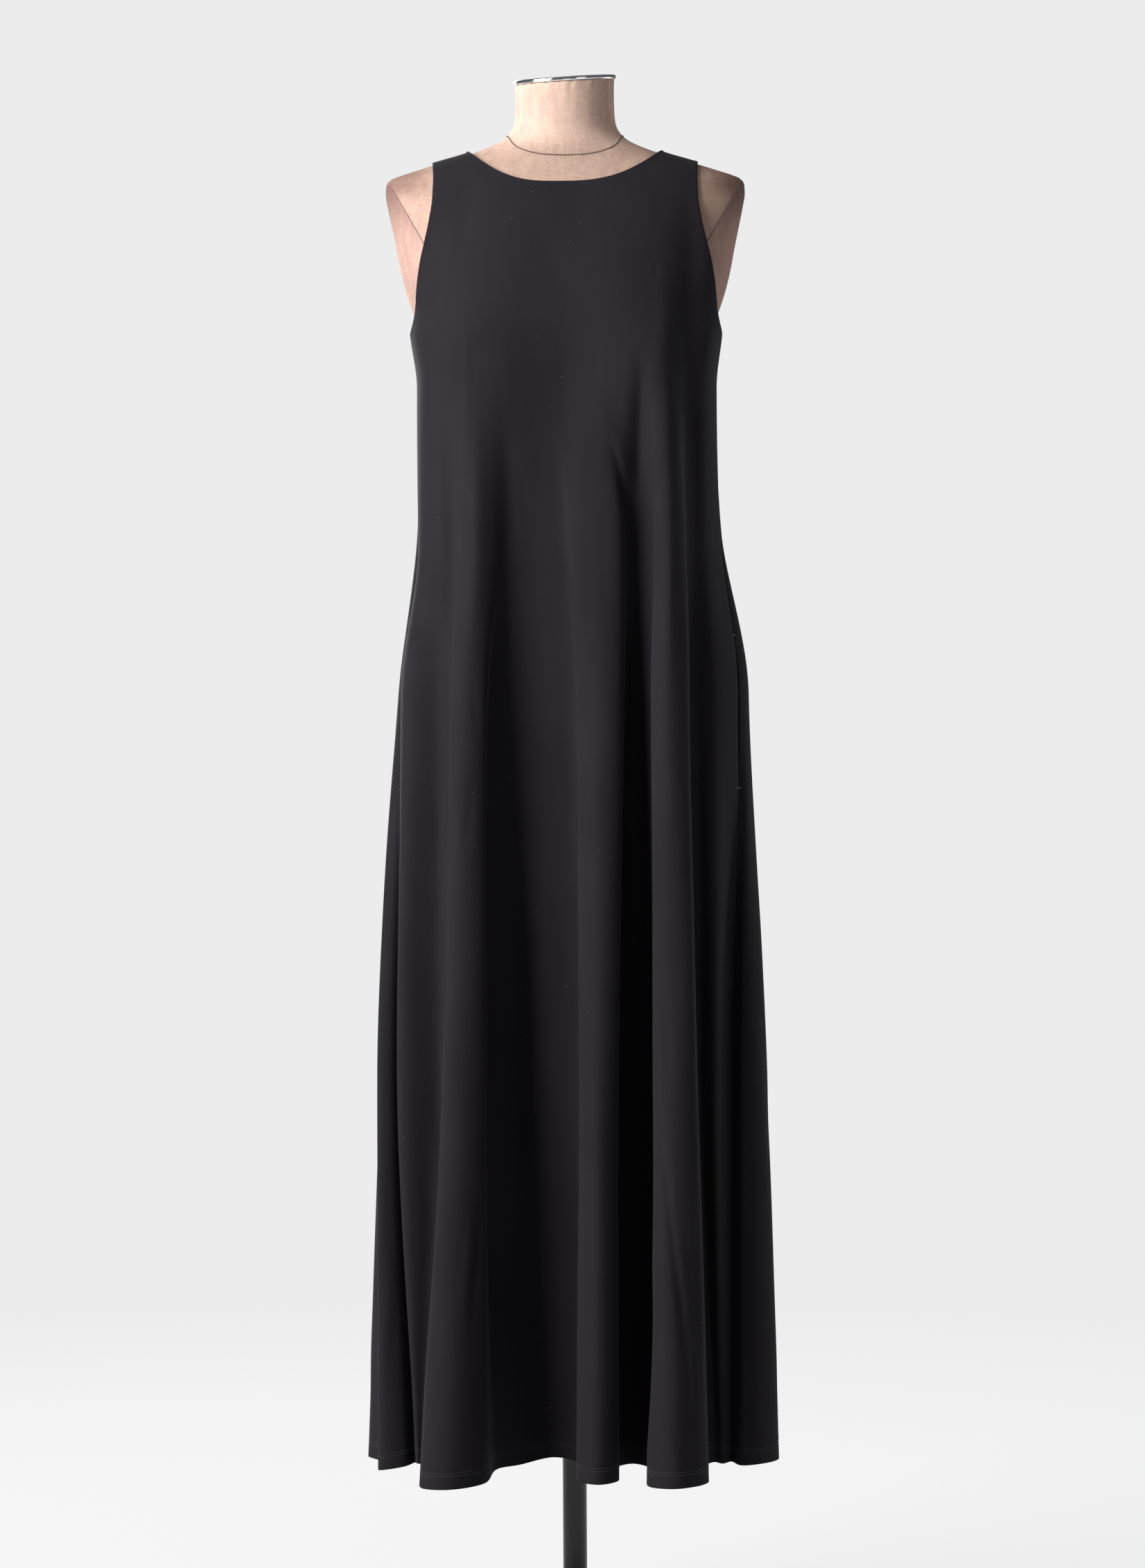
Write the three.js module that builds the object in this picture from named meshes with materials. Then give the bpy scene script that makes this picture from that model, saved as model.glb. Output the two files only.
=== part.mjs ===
// A long sleeveless A-line jersey dress worn by a limbless dress form on a pole stand.
// Millimetres, +Z up. The front of the dress faces -Y and the wearer's right side is at -X.
// The origin is on the floor, under the middle of the pole.
import * as THREE from "three";

// Driving sizes of the cloth
const clothThickness = 1.5;
const seamGap = 0.3;
const shoulderGap = 0.5; // the shoulder seams are curved, so their walls stand a little further apart
const hemHeight = 199;
const hemAllowance = 15;
const underarmHeight = 1373;
const bodyShift = -2.4; // the form and the bodice on it sit a little towards the wearer's right of the pole
const clothLift = 2.6; // middle of the cloth above the covered form, where it rests on it

// Driving sizes of the stand and the form
const poleRadius = 12.5;
const baseRadius = 160;
const baseThickness = 8;
const hubRadius = 21;
const hubHeight = 34;
const flangeRadius = 48;
const flangeThickness = 6;
const formBottom = 850;
const neckTop = 1639;
const capRadius = 53.4;
const capThickness = 4.4;
const capSideTilt = 0.059; // rise of the neck's top towards the wearer's left
const capForwardTilt = 0.13; // rise of the neck's top towards the back
const capCentreY = -12.5;

// Rows of points on the bodice, as shares of the way along the cloth from the underarm to the top edge
const bodiceRises = [0.04, 0.12, 0.23, 0.35, 0.48, 0.6, 0.71, 0.81, 0.895, 0.96, 1];

// Numbers of faces
const formSides = 36;
const columnsPerSegment = 2;
const roundSides = 36;

// The form: level sections from its bottom to the top of its neck.
// half is half the width, front and back are y on the middle line, and side is y at the widest place.
const formSections = [
  { z: formBottom, half: 150, front: -78, back: 88, side: 6, power: 2.15 },
  { z: 880, half: 157, front: -83, back: 95, side: 6, power: 2.15 },
  { z: 930, half: 163, front: -86, back: 101, side: 6, power: 2.15 },
  { z: 980, half: 163, front: -87, back: 102, side: 5, power: 2.1 },
  { z: 1040, half: 155, front: -87, back: 96, side: 2, power: 2.1 },
  { z: 1100, half: 138, front: -84, back: 83, side: -1, power: 2.1 },
  { z: 1160, half: 123, front: -82, back: 72, side: -4, power: 2.1 },
  { z: 1220, half: 128, front: -87, back: 78, side: -4, power: 2.15 },
  { z: 1270, half: 137, front: -95, back: 87, side: -3, power: 2.2 },
  { z: 1320, half: 145, front: -106, back: 95, side: -2, power: 2.25 },
  { z: 1373, half: 149, front: -108, back: 102, side: -1, power: 2.25 },
  { z: 1401, half: 160.4, front: -107, back: 105, side: 0, power: 2.2 },
  { z: 1423, half: 167.7, front: -103.5, back: 106, side: 1, power: 2.2 },
  { z: 1445, half: 173, front: -99, back: 105.5, side: 2, power: 2.2 },
  { z: 1466, half: 177, front: -94, back: 103, side: 2.5, power: 2.2 },
  { z: 1488, half: 181.5, front: -87, back: 99, side: 3, power: 2.2 },
  { z: 1510, half: 186, front: -78, back: 93, side: 3.5, power: 2.15 },
  { z: 1524, half: 188.2, front: -72, back: 87, side: 4, power: 2.1 },
  { z: 1533, half: 187.8, front: -68.5, back: 82, side: 4, power: 2.05 },
  { z: 1538.5, half: 185, front: -66.5, back: 78, side: 4, power: 2 },
  { z: 1542, half: 177.5, front: -65, back: 75.5, side: 4, power: 2 },
  { z: 1546, half: 165, front: -63.5, back: 72.5, side: 4, power: 2 },
  { z: 1551, half: 149, front: -62, back: 68.5, side: 3.6, power: 2 },
  { z: 1556, half: 131, front: -61, back: 64.5, side: 2.9, power: 2 },
  { z: 1561, half: 112.5, front: -60.5, back: 61, side: 2.1, power: 2 },
  { z: 1567, half: 94, front: -60, back: 57, side: 1, power: 2 },
  { z: 1573, half: 77.5, front: -59.5, back: 53, side: -1, power: 2 },
  { z: 1579, half: 65.5, front: -59, back: 49.5, side: -4, power: 2 },
  { z: 1586, half: 58, front: -58.8, back: 46.5, side: -6, power: 2 },
  { z: 1594, half: 53.6, front: -59.2, back: 44, side: -8, power: 2 },
  { z: 1604, half: 52, front: -60, back: 42, side: -9.5, power: 2 },
  { z: 1620, half: 51.4, front: -61.5, back: 40, side: -11, power: 2 },
  { z: neckTop, half: 51.3, front: -63.5, back: 38.5, side: -12.5, power: 2 },
];
const bust = { x: 86, z: 1326, rise: 19, width: 37, height: 46 };

// Half the width of the dress between its side seams from the bust up to the underarm.
const sideWidths = [
  { z: 1320, half: 155.4 },
  { z: 1350, half: 154.8 },
  { z: underarmHeight, half: 162.4 },
  { z: 1386, half: 161.6 },
  { z: 1401, half: 162.3 },
];
// Half the width between the two armhole edges.
const armholes = [
  { z: underarmHeight, half: 162.4 },
  { z: 1378, half: 160.8 },
  { z: 1386, half: 158 },
  { z: 1396, half: 156 },
  { z: 1423, half: 153.6 },
  { z: 1445, half: 150.3 },
  { z: 1466, half: 145.6 },
  { z: 1488, half: 141 },
  { z: 1512, half: 137.6 },
  { z: 1537, half: 136.7 },
  { z: 1560, half: 139 },
];
// How far the front and back hang clear of the form on the middle line.
const frontEase = [
  { z: 1320, ease: 5 },
  { z: 1373, ease: 4 },
  { z: 1450, ease: 4.4 },
  { z: 1530, ease: clothLift },
];
const backEase = [
  { z: 1320, ease: 5 },
  { z: 1373, ease: 3.6 },
  { z: 1450, ease: 5.2 },
  { z: 1530, ease: clothLift },
];
// How much squarer than the form the front is, where it hangs across the bust.
const frontSquare = [
  { z: 1320, more: 1 },
  { z: 1373, more: 0.75 },
  { z: 1450, more: 0.4 },
  { z: 1530, more: 0 },
];
// Necklines: middle is the lowest point, right and left are the ends of the shoulder seams at the neck.
const necklines = {
  front: { low: 1527.5, middle: -10, right: -103.5, left: 98.5, round: 2.8 },
  back: { low: 1546, middle: -3, right: -103.5, left: 98.5, round: 2.4 },
};

// The skirt's loop, from the wearer's right side seam across the front to the left one and round the back.
// Each row is a line or a fold of the cloth, followed down the skirt from the bust to the hem.
// A line's row gives x on the chest, then x and y at each level; lift raises the hem there.
// A fold's row stands between two valleys and gives x and half the cloth's width on the chest (spread),
// then at each level x, half width, y of the crest, and across it: the reach of its first foot, how far
// its two shoulders stand out, and the reach of its second foot. The reaches are shares of the half
// width, and under 1 the fold is undercut there. lean moves the crest sideways.
const levels = { hem: hemHeight, knee: 600, hip: 1000, waist: 1160, bust: 1320 };
const frontLines = [
  {
    name: "seamRight", bust: -156.8, lift: 4,
    waist: [-158, -4], hip: [-177, -15], knee: [-177, -36], hem: [-166, -46],
  },
  {
    name: "pocketRidge", bust: -149, lift: 6,
    waist: [-154, -50], hip: [-167, -73], knee: [-177, -90], hem: [-162, -64],
  },
  {
    name: "rightValley", bust: -138, lift: 5,
    waist: [-132, -78], hip: [-134, -80], knee: [-134, -86], hem: [-158, -63],
  },
  {
    name: "rightPipe", bust: -96, spread: 33, lean: -0.15,
    waist: [-94, 15, -133, 1.7, 0.7, 0.74, 2.1], hip: [-103, 16, -143, 1.3, 0.86, 0.86, 1.3],
    knee: [-109.5, 20.5, -166, 0.85, 0.94, 0.84, 0.85], hem: [-122.5, 30.5, -195, 0.9, 0.94, 0.76, 1.44],
  },
  {
    name: "middleValley", bust: -52, lift: 6,
    waist: [-50, -111], hip: [-59, -99], knee: [-63, -72], hem: [-57, -76],
  },
  {
    name: "middleFront", bust: -30, lift: 12,
    waist: [-22, -110], hip: [-22, -103], knee: [-26, -84], hem: [-22, -66],
  },
  {
    name: "middlePipe", bust: 14, spread: 28, lean: 0,
    waist: [28, 25, -124, 1.3, 0.6, 0.84, 1.3], hip: [30.5, 21.5, -135, 1.2, 0.66, 0.86, 1.2],
    knee: [26.5, 18.5, -158, 0.92, 0.86, 0.86, 0.92], hem: [23.2, 19.8, -169, 0.85, 0.86, 0.84, 0.85],
  },
  {
    name: "leftMiddleValley", bust: 73, lift: 4,
    waist: [69, -100], hip: [65, -92], knee: [63.5, -69], hem: [60, -60],
  },
  {
    name: "leftPipe", bust: 104, spread: 21, lean: -0.15,
    waist: [104, 15, -134, 1.2, 0.8, 0.74, 1.2], hip: [101, 17.5, -147, 1.05, 0.83, 0.84, 1.05],
    knee: [104, 20, -173, 0.9, 0.92, 0.91, 0.9], hem: [105, 29, -197, 0.85, 0.92, 0.8, 0.85],
  },
  {
    name: "leftValley", bust: 132, lift: 3,
    waist: [129, -68], hip: [130, -70], knee: [132, -66], hem: [146, -46],
  },
  {
    name: "leftRidge", bust: 142, lift: 2,
    waist: [142, -52], hip: [147, -68], knee: [146, -78], hem: [153, -50],
  },
];
const backLines = [
  {
    name: "seamLeft", bust: 151.8, lift: 2,
    waist: [158.5, -4], hip: [176, -18], knee: [166, -35], hem: [163, -38],
  },
  {
    name: "leftFlapEdge", bust: 146, lift: 0,
    waist: [159.8, 6], hip: [183, -6], knee: [176, -50], hem: [172, -50],
  },
  {
    name: "leftFlap", bust: 139, lift: 0,
    waist: [159.6, 18], hip: [187, 12], knee: [191, -42], hem: [190, -44],
  },
  {
    name: "leftMost", bust: 130, lift: 0,
    waist: [156, 34], hip: [183, 36], knee: [203, -14], hem: [213, -6],
  },
  {
    name: "backLeftValley", bust: 120, lift: 4,
    waist: [143, 64], hip: [163, 68], knee: [180, 54], hem: [192, 52],
  },
  {
    name: "backLeftPipe", bust: 92, spread: 22, lean: 0,
    waist: [106, 20, 107, 1.3, 0.66, 0.66, 1.3], hip: [117, 22, 121, 1.25, 0.66, 0.66, 1.25],
    knee: [134, 24, 150, 1, 0.75, 0.7, 1], hem: [146, 31, 180, 0.88, 0.7, 0.66, 0.88],
  },
  {
    name: "backInnerLeft", bust: 62, lift: 5,
    waist: [70, 100], hip: [76, 108], knee: [86, 88], hem: [93, 82],
  },
  {
    name: "backMiddlePipe", bust: 26, spread: 26, lean: 0.1,
    waist: [28, 24, 117, 1.3, 0.66, 0.66, 1.3], hip: [30, 25, 135, 1.25, 0.66, 0.7, 1.25],
    knee: [34, 27, 165, 1, 0.66, 0.8, 1], hem: [38, 33, 193, 0.88, 0.66, 0.74, 0.88],
  },
  {
    name: "backMiddleValley", bust: -12, lift: 6,
    waist: [-15, 105], hip: [-16, 118], knee: [-19, 92], hem: [-22, 86],
  },
  {
    name: "backInnerPipe", bust: -48, spread: 24, lean: -0.1,
    waist: [-56, 22, 114, 1.3, 0.66, 0.66, 1.3], hip: [-60, 23, 131, 1.25, 0.7, 0.66, 1.25],
    knee: [-70, 25, 160, 1, 0.82, 0.7, 1], hem: [-80, 31, 189, 0.88, 0.74, 0.66, 0.88],
  },
  {
    name: "backRightValley", bust: -82, lift: 5,
    waist: [-96, 92], hip: [-102, 98], knee: [-113, 80], hem: [-122, 76],
  },
  {
    name: "backRightPipe", bust: -108, spread: 18, lean: 0,
    waist: [-124, 16, 88, 1.3, 0.66, 0.66, 1.3], hip: [-137, 17, 99, 1.25, 0.66, 0.66, 1.25],
    knee: [-154, 20, 124, 1, 0.7, 0.7, 1], hem: [-166, 25, 146, 0.9, 0.66, 0.66, 0.9],
  },
  {
    name: "rightMost", bust: -134, lift: 0,
    waist: [-156, 34], hip: [-177, 36], knee: [-200, 28], hem: [-217, 30],
  },
  {
    name: "rightTuck", bust: -141, lift: 0,
    waist: [-159, 18], hip: [-179.5, 16], knee: [-198, -14], hem: [-196, -22],
  },
  {
    name: "rightFlap", bust: -147, lift: -1,
    waist: [-159.6, 8], hip: [-180, 2], knee: [-201, -46], hem: [-201.5, -62],
  },
  {
    name: "rightFlapEdge", bust: -152, lift: 2,
    waist: [-159.2, 2], hip: [-179, -7], knee: [-188.5, -46], hem: [-176, -58],
  },
];
const foldFoot = 0.22; // how far out the feet of a fold stand

// In-seam pockets: the opening in each side seam, and the flat bag that hangs inside it.
// gape is how far the opening's edges stand apart; thickness and inset are the bag's.
const pocket = {
  top: 1061, bottom: 901, bagBottom: 803, columns: 5, thickness: 1.4, inset: 2.2,
  right: { gape: 1.2 },
  left: { gape: 3.4 },
};
// Heights of the skirt's rows of points: evenly spaced from each height to the next.
const rowBands = [
  { from: hemHeight, to: hemHeight + hemAllowance, steps: 1 },
  { from: hemHeight + hemAllowance, to: pocket.bagBottom, steps: 6 },
  { from: pocket.bagBottom, to: pocket.bottom, steps: 1 },
  { from: pocket.bottom, to: pocket.top, steps: 4 },
  { from: pocket.top, to: underarmHeight, steps: 4 },
];

// A smooth curve through a table's rows that never overshoots them.
function smoothAt(places, values, at) {
  const last = places.length - 1;
  if (at <= places[0]) return values[0];
  if (at >= places[last]) return values[last];
  const slope = (k) => (values[k + 1] - values[k]) / (places[k + 1] - places[k]);
  const tangent = (k) => {
    if (k === 0) return slope(0);
    if (k === last) return slope(last - 1);
    const before = slope(k - 1);
    const after = slope(k);
    return before * after <= 0 ? 0 : (2 * before * after) / (before + after);
  };
  let i = 0;
  while (at > places[i + 1]) i += 1;
  const h = places[i + 1] - places[i];
  const t = (at - places[i]) / h;
  const u = 1 - t;
  return (
    values[i] * (1 + 2 * t) * u * u + h * tangent(i) * t * u * u +
    values[i + 1] * t * t * (3 - 2 * t) - h * tangent(i + 1) * t * t * u
  );
}

function tableAt(table, column, z) {
  return smoothAt(table.map((row) => row.z), table.map((row) => row[column]), z);
}

const mix = (a, b, t) => a + (b - a) * t;

function formAt(z) {
  const at = {};
  for (const column of ["half", "front", "back", "side", "power"]) {
    at[column] = tableAt(formSections, column, z);
  }
  return at;
}

// How far the bust stands out at a place on the front, with x from the form's middle.
function bustRise(x, z) {
  const across = (Math.abs(x) - bust.x) / bust.width;
  const up = (z - bust.z) / bust.height;
  return bust.rise * Math.exp(-(across * across + up * up) / 2);
}

// Depth of the bodice from its widest place to its front or back, with x from the form's middle.
function bodiceReach(face, x, z, below) {
  if (face === "back") return below.back + tableAt(backEase, "ease", z) - below.side;
  return below.side - below.front + tableAt(frontEase, "ease", z) + bustRise(x, z);
}

// Roundness of the bodice's level sections, which are superellipses of this power.
function bodicePower(face, z, below) {
  return face === "back" ? below.power : below.power + tableAt(frontSquare, "more", z);
}

// y of the cloth's middle on the bodice, which rests on the form's chest, back and shoulders.
function bodiceDepth(face, placeX, z) {
  const x = placeX - bodyShift;
  const below = formAt(z - clothLift);
  const share = Math.min(1, Math.abs(x) / dressHalf(z));
  const power = bodicePower(face, z, below);
  const round = (1 - share ** power) ** (1 / power);
  const reach = bodiceReach(face, x, z, below);
  return below.side + round * (face === "front" ? -reach : reach);
}

// The way straight out of the bodice, which is the way that its level sections grow.
function bodiceNormal(face, point) {
  const size = (placeX, y, z) => {
    const x = placeX - bodyShift;
    const below = formAt(z - clothLift);
    const across = Math.abs(x) / dressHalf(z);
    const deep = Math.abs(y - below.side) / bodiceReach(face, x, z, below);
    const power = bodicePower(face, z, below);
    return across ** power + deep ** power;
  };
  const { x, y, z } = point;
  const step = 0.5;
  return new THREE.Vector3(
    size(x + step, y, z) - size(x - step, y, z),
    size(x, y + step, z) - size(x, y - step, z),
    size(x, y, z + step) - size(x, y, z - step),
  ).normalize();
}

// Half the width of the whole dress at a height above the bust.
function dressHalf(z) {
  const loose = tableAt(sideWidths, "half", z);
  const snug = formAt(z - clothLift).half + clothLift;
  return z < 1401 ? loose : snug;
}

function bodiceX(share, z) {
  return bodyShift + tableAt(armholes, "half", z) * (2 * share - 1);
}

// Height where a strap reaches the top of the shoulder.
function crestHeight(share) {
  let low = 1500;
  let high = 1585;
  while (high - low > 1e-7) {
    const z = (low + high) / 2;
    if (Math.abs(bodiceX(share, z) - bodyShift) < dressHalf(z)) low = z;
    else high = z;
  }
  return low;
}

// Height of a panel's top edge: the neckline in the middle and the shoulder seams beside it.
function topHeight(face, share) {
  const edge = necklines[face];
  const x = bodiceX(share, 1550);
  const end = x < edge.middle ? edge.right : edge.left;
  const along = (x - edge.middle) / (end - edge.middle);
  if (along >= 1) return crestHeight(share);
  const endShare = (end - bodyShift) / tableAt(armholes, "half", 1550) / 2 + 0.5;
  return mix(edge.low, crestHeight(endShare), along ** edge.round);
}

// The skirt's control lines, with each fold opened into the lines across it.
const levelNames = ["hem", "knee", "hip", "waist"];

function lineAt(row, level) {
  return { x: row[level][0], y: row[level][1], lift: level === "hem" ? row.lift : 0 };
}

function foldLines(row, before, after) {
  const way = Math.sign(after.bust - before.bust);
  return [-1, -1, 0, 1, 1].map((across, k) => {
    const line = { name: row.name + k, bust: row.bust + way * row.spread * (k / 2 - 1) };
    for (const level of levelNames) {
      const [x, half, crest, firstFoot, first, second, secondFoot] = row[level];
      const valley = lineAt(across < 0 ? before : after, level);
      const reach = half * [firstFoot, 1, 1, 1, secondFoot][k];
      const feet = [foldFoot / Math.max(1, firstFoot), foldFoot / Math.max(1, secondFoot)];
      const out = [feet[0], first, 1, second, feet[1]][k];
      line[level] = {
        x: x + way * reach * across + (across === 0 ? row.lean * half : 0),
        y: mix(valley.y, crest, out),
        lift: mix(valley.lift, 0, out),
      };
    }
    return line;
  });
}

function openFolds(rows, next) {
  const lines = [];
  rows.forEach((row, k) => {
    if (row.spread) {
      lines.push(...foldLines(row, rows[k - 1], rows[k + 1] || next));
      return;
    }
    const line = { name: row.name, bust: row.bust };
    for (const level of levelNames) line[level] = lineAt(row, level);
    lines.push(line);
  });
  return lines;
}

const frontSet = openFolds(frontLines, backLines[0]);
const backSet = openFolds(backLines, frontLines[0]);
const loopLines = [...frontSet, ...backSet];
const frontCount = frontSet.length; // the left side seam is the first line of the back set
const lineCount = loopLines.length;

// Where each line runs on the bodice, as a share of the width between the armholes.
function faceOf(k) {
  return k <= frontCount ? "front" : "back";
}

const levelHeights = [levels.hem, levels.knee, levels.hip, levels.waist, levels.bust, underarmHeight];

for (let k = 0; k < lineCount; k += 1) {
  const line = loopLines[k];
  const seam = line.name === "seamRight" ? -1 : line.name === "seamLeft" ? 1 : 0;
  const share = seam ? (seam + 1) / 2 : (line.bust + sideWidths[0].half) / (2 * sideWidths[0].half);
  line.xs = levelNames.map((level) => line[level].x);
  line.ys = levelNames.map((level) => line[level].y);
  for (const z of [levels.bust, underarmHeight]) {
    const x = bodyShift + tableAt(sideWidths, "half", z) * (2 * share - 1);
    line.xs.push(x);
    line.ys.push(seam ? formAt(z).side : bodiceDepth(faceOf(k), x, z));
  }
}

// A line of the loop at a share of the way from the hem to the underarm.
function linePoint(line, z) {
  const lift = line.hem.lift * Math.max(0, 1 - (z - hemHeight) / (levels.hip - hemHeight));
  return new THREE.Vector3(smoothAt(levelHeights, line.xs, z), smoothAt(levelHeights, line.ys, z), z + lift);
}

// Centripetal Catmull-Rom curve through four points, from the second to the third.
function curveThrough(a, b, c, d, t) {
  const step = (p, q) => Math.max(1e-3, Math.sqrt(p.distanceTo(q)));
  const t1 = step(a, b);
  const t2 = t1 + step(b, c);
  const t3 = t2 + step(c, d);
  const at = mix(t1, t2, t);
  const blend = (p, q, from, to) => p.clone().lerp(q, (at - from) / (to - from));
  const ab = blend(a, b, 0, t1);
  const bc = blend(b, c, t1, t2);
  const cd = blend(c, d, t2, t3);
  return blend(blend(ab, bc, 0, t2), blend(bc, cd, t1, t3), t1, t2);
}

// A point of the skirt: place counts the loop's lines, and z is the height.
function skirtPoint(place, z) {
  const wrapped = ((place % lineCount) + lineCount) % lineCount;
  const k = Math.floor(wrapped);
  const four = [-1, 0, 1, 2].map((d) => linePoint(loopLines[(k + d + lineCount) % lineCount], z));
  return curveThrough(...four, wrapped - k);
}

// A point of a panel's top edge.
function topPoint(face, share) {
  const z = topHeight(face, share);
  const x = bodiceX(share, z);
  return new THREE.Vector3(x, bodiceDepth(face, x, z), z);
}

// Shares across the top edge where the columns end, evenly spaced along each shoulder seam and the neckline.
function topShares(face, count) {
  const width = 2 * tableAt(armholes, "half", 1550);
  const corners = [0, necklines[face].right, necklines[face].left, 1];
  corners[1] = (corners[1] - bodyShift) / width + 0.5;
  corners[2] = (corners[2] - bodyShift) / width + 0.5;
  const steps = 100;
  const runs = [0, 1, 2].map((k) => {
    const shares = [];
    const lengths = [0];
    for (let n = 0; n <= steps; n += 1) shares.push(mix(corners[k], corners[k + 1], n / steps));
    for (let n = 1; n <= steps; n += 1) {
      const step = topPoint(face, shares[n]).distanceTo(topPoint(face, shares[n - 1]));
      lengths.push(lengths[n - 1] + step);
    }
    return { shares, lengths, length: lengths[steps] };
  });
  const whole = runs.reduce((sum, run) => sum + run.length, 0);
  const strap = Math.round(((count - 1) * (runs[0].length + runs[2].length)) / 2 / whole);
  const parts = [strap, count - 1 - 2 * strap, strap];
  const result = [0];
  runs.forEach((run, k) => {
    for (let n = 1; n <= parts[k]; n += 1) {
      const along = (run.length * n) / parts[k];
      let at = 1;
      while (at < steps && run.lengths[at] < along) at += 1;
      const t = (along - run.lengths[at - 1]) / (run.lengths[at] - run.lengths[at - 1]);
      result.push(mix(run.shares[at - 1], run.shares[at], t));
    }
  });
  return result;
}

// A column of the bodice, from its share of the width at the underarm to its share at the top edge.
function bodiceProfile(face, lowShare, topShare) {
  const top = topHeight(face, topShare);
  const points = [];
  const steps = 120;
  for (let k = 0; k <= steps; k += 1) {
    const t = k / steps;
    const z = top - (top - underarmHeight) * (1 - t) ** 2;
    const x = bodiceX(mix(lowShare, topShare, t), z);
    points.push(new THREE.Vector3(x, bodiceDepth(face, x, z), z));
  }
  const lengths = [0];
  for (let k = 1; k <= steps; k += 1) lengths.push(lengths[k - 1] + points[k].distanceTo(points[k - 1]));
  return { points, lengths };
}

function profilePoint(profile, along) {
  const { points, lengths } = profile;
  let k = 1;
  while (k < lengths.length - 1 && lengths[k] < along) k += 1;
  const t = (along - lengths[k - 1]) / (lengths[k] - lengths[k - 1]);
  return points[k - 1].clone().lerp(points[k], t);
}

// How wide the side seam stands open at a height, because of the pocket in it.
function seamOpening(side, z) {
  const t = (z - pocket.bottom) / (pocket.top - pocket.bottom);
  const gape = t > 0 && t < 1 ? pocket[side].gape * Math.sin(Math.PI * t) : 0;
  return seamGap + gape;
}

// The places of a panel's columns on the loop, and its share across the bodice at the underarm.
function panelColumns(face) {
  const from = face === "front" ? 0 : frontCount;
  const to = face === "front" ? frontCount : lineCount;
  const places = [];
  for (let k = from; k < to; k += 1) {
    for (let s = 0; s < columnsPerSegment; s += 1) places.push(k + s / columnsPerSegment);
  }
  places.push(to);
  return places;
}

function seamShift(place, z) {
  const reach = skirtPoint(place + 0.01, z).distanceTo(skirtPoint(place - 0.01, z)) / 0.02;
  const side = Math.round(place) % lineCount === 0 ? "right" : "left";
  return { half: seamGap / 2 / reach, open: (seamOpening(side, z) - seamGap / 2) / reach };
}

const skirtHeights = [hemHeight];
for (const { from, to, steps } of rowBands) {
  for (let k = 1; k <= steps; k += 1) skirtHeights.push(mix(from, to, k / steps));
}

// The middle surface of a panel as rows of points from the hem to the top, each with its outward normal.
function panelGrid(face) {
  const places = panelColumns(face);
  const last = places.length - 1;
  const rows = [];
  for (const z of skirtHeights) {
    rows.push(places.map((place, c) => {
      let at = place;
      if (c === 0) at += face === "front" ? seamShift(place, z).open : seamShift(place, z).half;
      if (c === last) at -= face === "front" ? seamShift(place, z).open : seamShift(place, z).half;
      const point = skirtPoint(at, z);
      const across = skirtPoint(at + 0.02, z).sub(skirtPoint(at - 0.02, z));
      const up = skirtPoint(at, z + 1).sub(skirtPoint(at, z - 1));
      return { point, normal: across.cross(up).normalize() };
    }));
  }
  const top = rows[rows.length - 1];
  const xs = top.map((cell) => cell.point.x);
  const front = face === "front";
  const along = xs.map((x) => (x - xs[0]) / (xs[last] - xs[0]));
  const lowShares = along.map((share) => (front ? share : 1 - share));
  const highShares = topShares(face, xs.length);
  if (!front) highShares.reverse();
  const profiles = lowShares.map((share, c) => bodiceProfile(face, share, highShares[c]));
  for (const rise of bodiceRises) {
    rows.push(profiles.map((profile) => {
      const length = profile.lengths[profile.lengths.length - 1] - shoulderGap / 2;
      const point = profilePoint(profile, length * rise);
      return { point, normal: bodiceNormal(face, point) };
    }));
  }
  return rows;
}

// A closed wall over a grid of points with normals. offset moves it outwards from the grid.
// The quads' diagonals lean one way in the first columns and the other way in the rest.
function wallGeometry(grid, thickness, offset = 0, turnedColumns = (grid[0].length - 1) / 2) {
  const rows = grid.length;
  const columns = grid[0].length;
  const positions = [];
  for (const side of [1, -1]) {
    for (const row of grid) {
      for (const { point, normal } of row) {
        positions.push(...point.clone().addScaledVector(normal, offset + (side * thickness) / 2).toArray());
      }
    }
  }
  const inner = rows * columns;
  const at = (r, c) => r * columns + c;
  const end = columns - 1;
  const index = [];
  const quad = (a, b, c, d) => index.push(a, b, c, a, c, d);
  for (let r = 0; r < rows - 1; r += 1) {
    for (let c = 0; c < end; c += 1) {
      const corners = [at(r, c), at(r, c + 1), at(r + 1, c + 1), at(r + 1, c)];
      if (c < turnedColumns) corners.push(corners.shift());
      const [first, second, third, fourth] = corners;
      quad(first, second, third, fourth);
      quad(inner + first, inner + fourth, inner + third, inner + second);
    }
  }
  for (let c = 0; c < end; c += 1) {
    quad(at(0, c), inner + at(0, c), inner + at(0, c + 1), at(0, c + 1));
    quad(at(rows - 1, c), at(rows - 1, c + 1), inner + at(rows - 1, c + 1), inner + at(rows - 1, c));
  }
  for (let r = 0; r < rows - 1; r += 1) {
    quad(at(r, 0), at(r + 1, 0), inner + at(r + 1, 0), inner + at(r, 0));
    quad(at(r, end), inner + at(r, end), inner + at(r + 1, end), at(r + 1, end));
  }
  return new THREE.BufferGeometry()
    .setAttribute("position", new THREE.Float32BufferAttribute(positions, 3))
    .setIndex(index);
}

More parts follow.
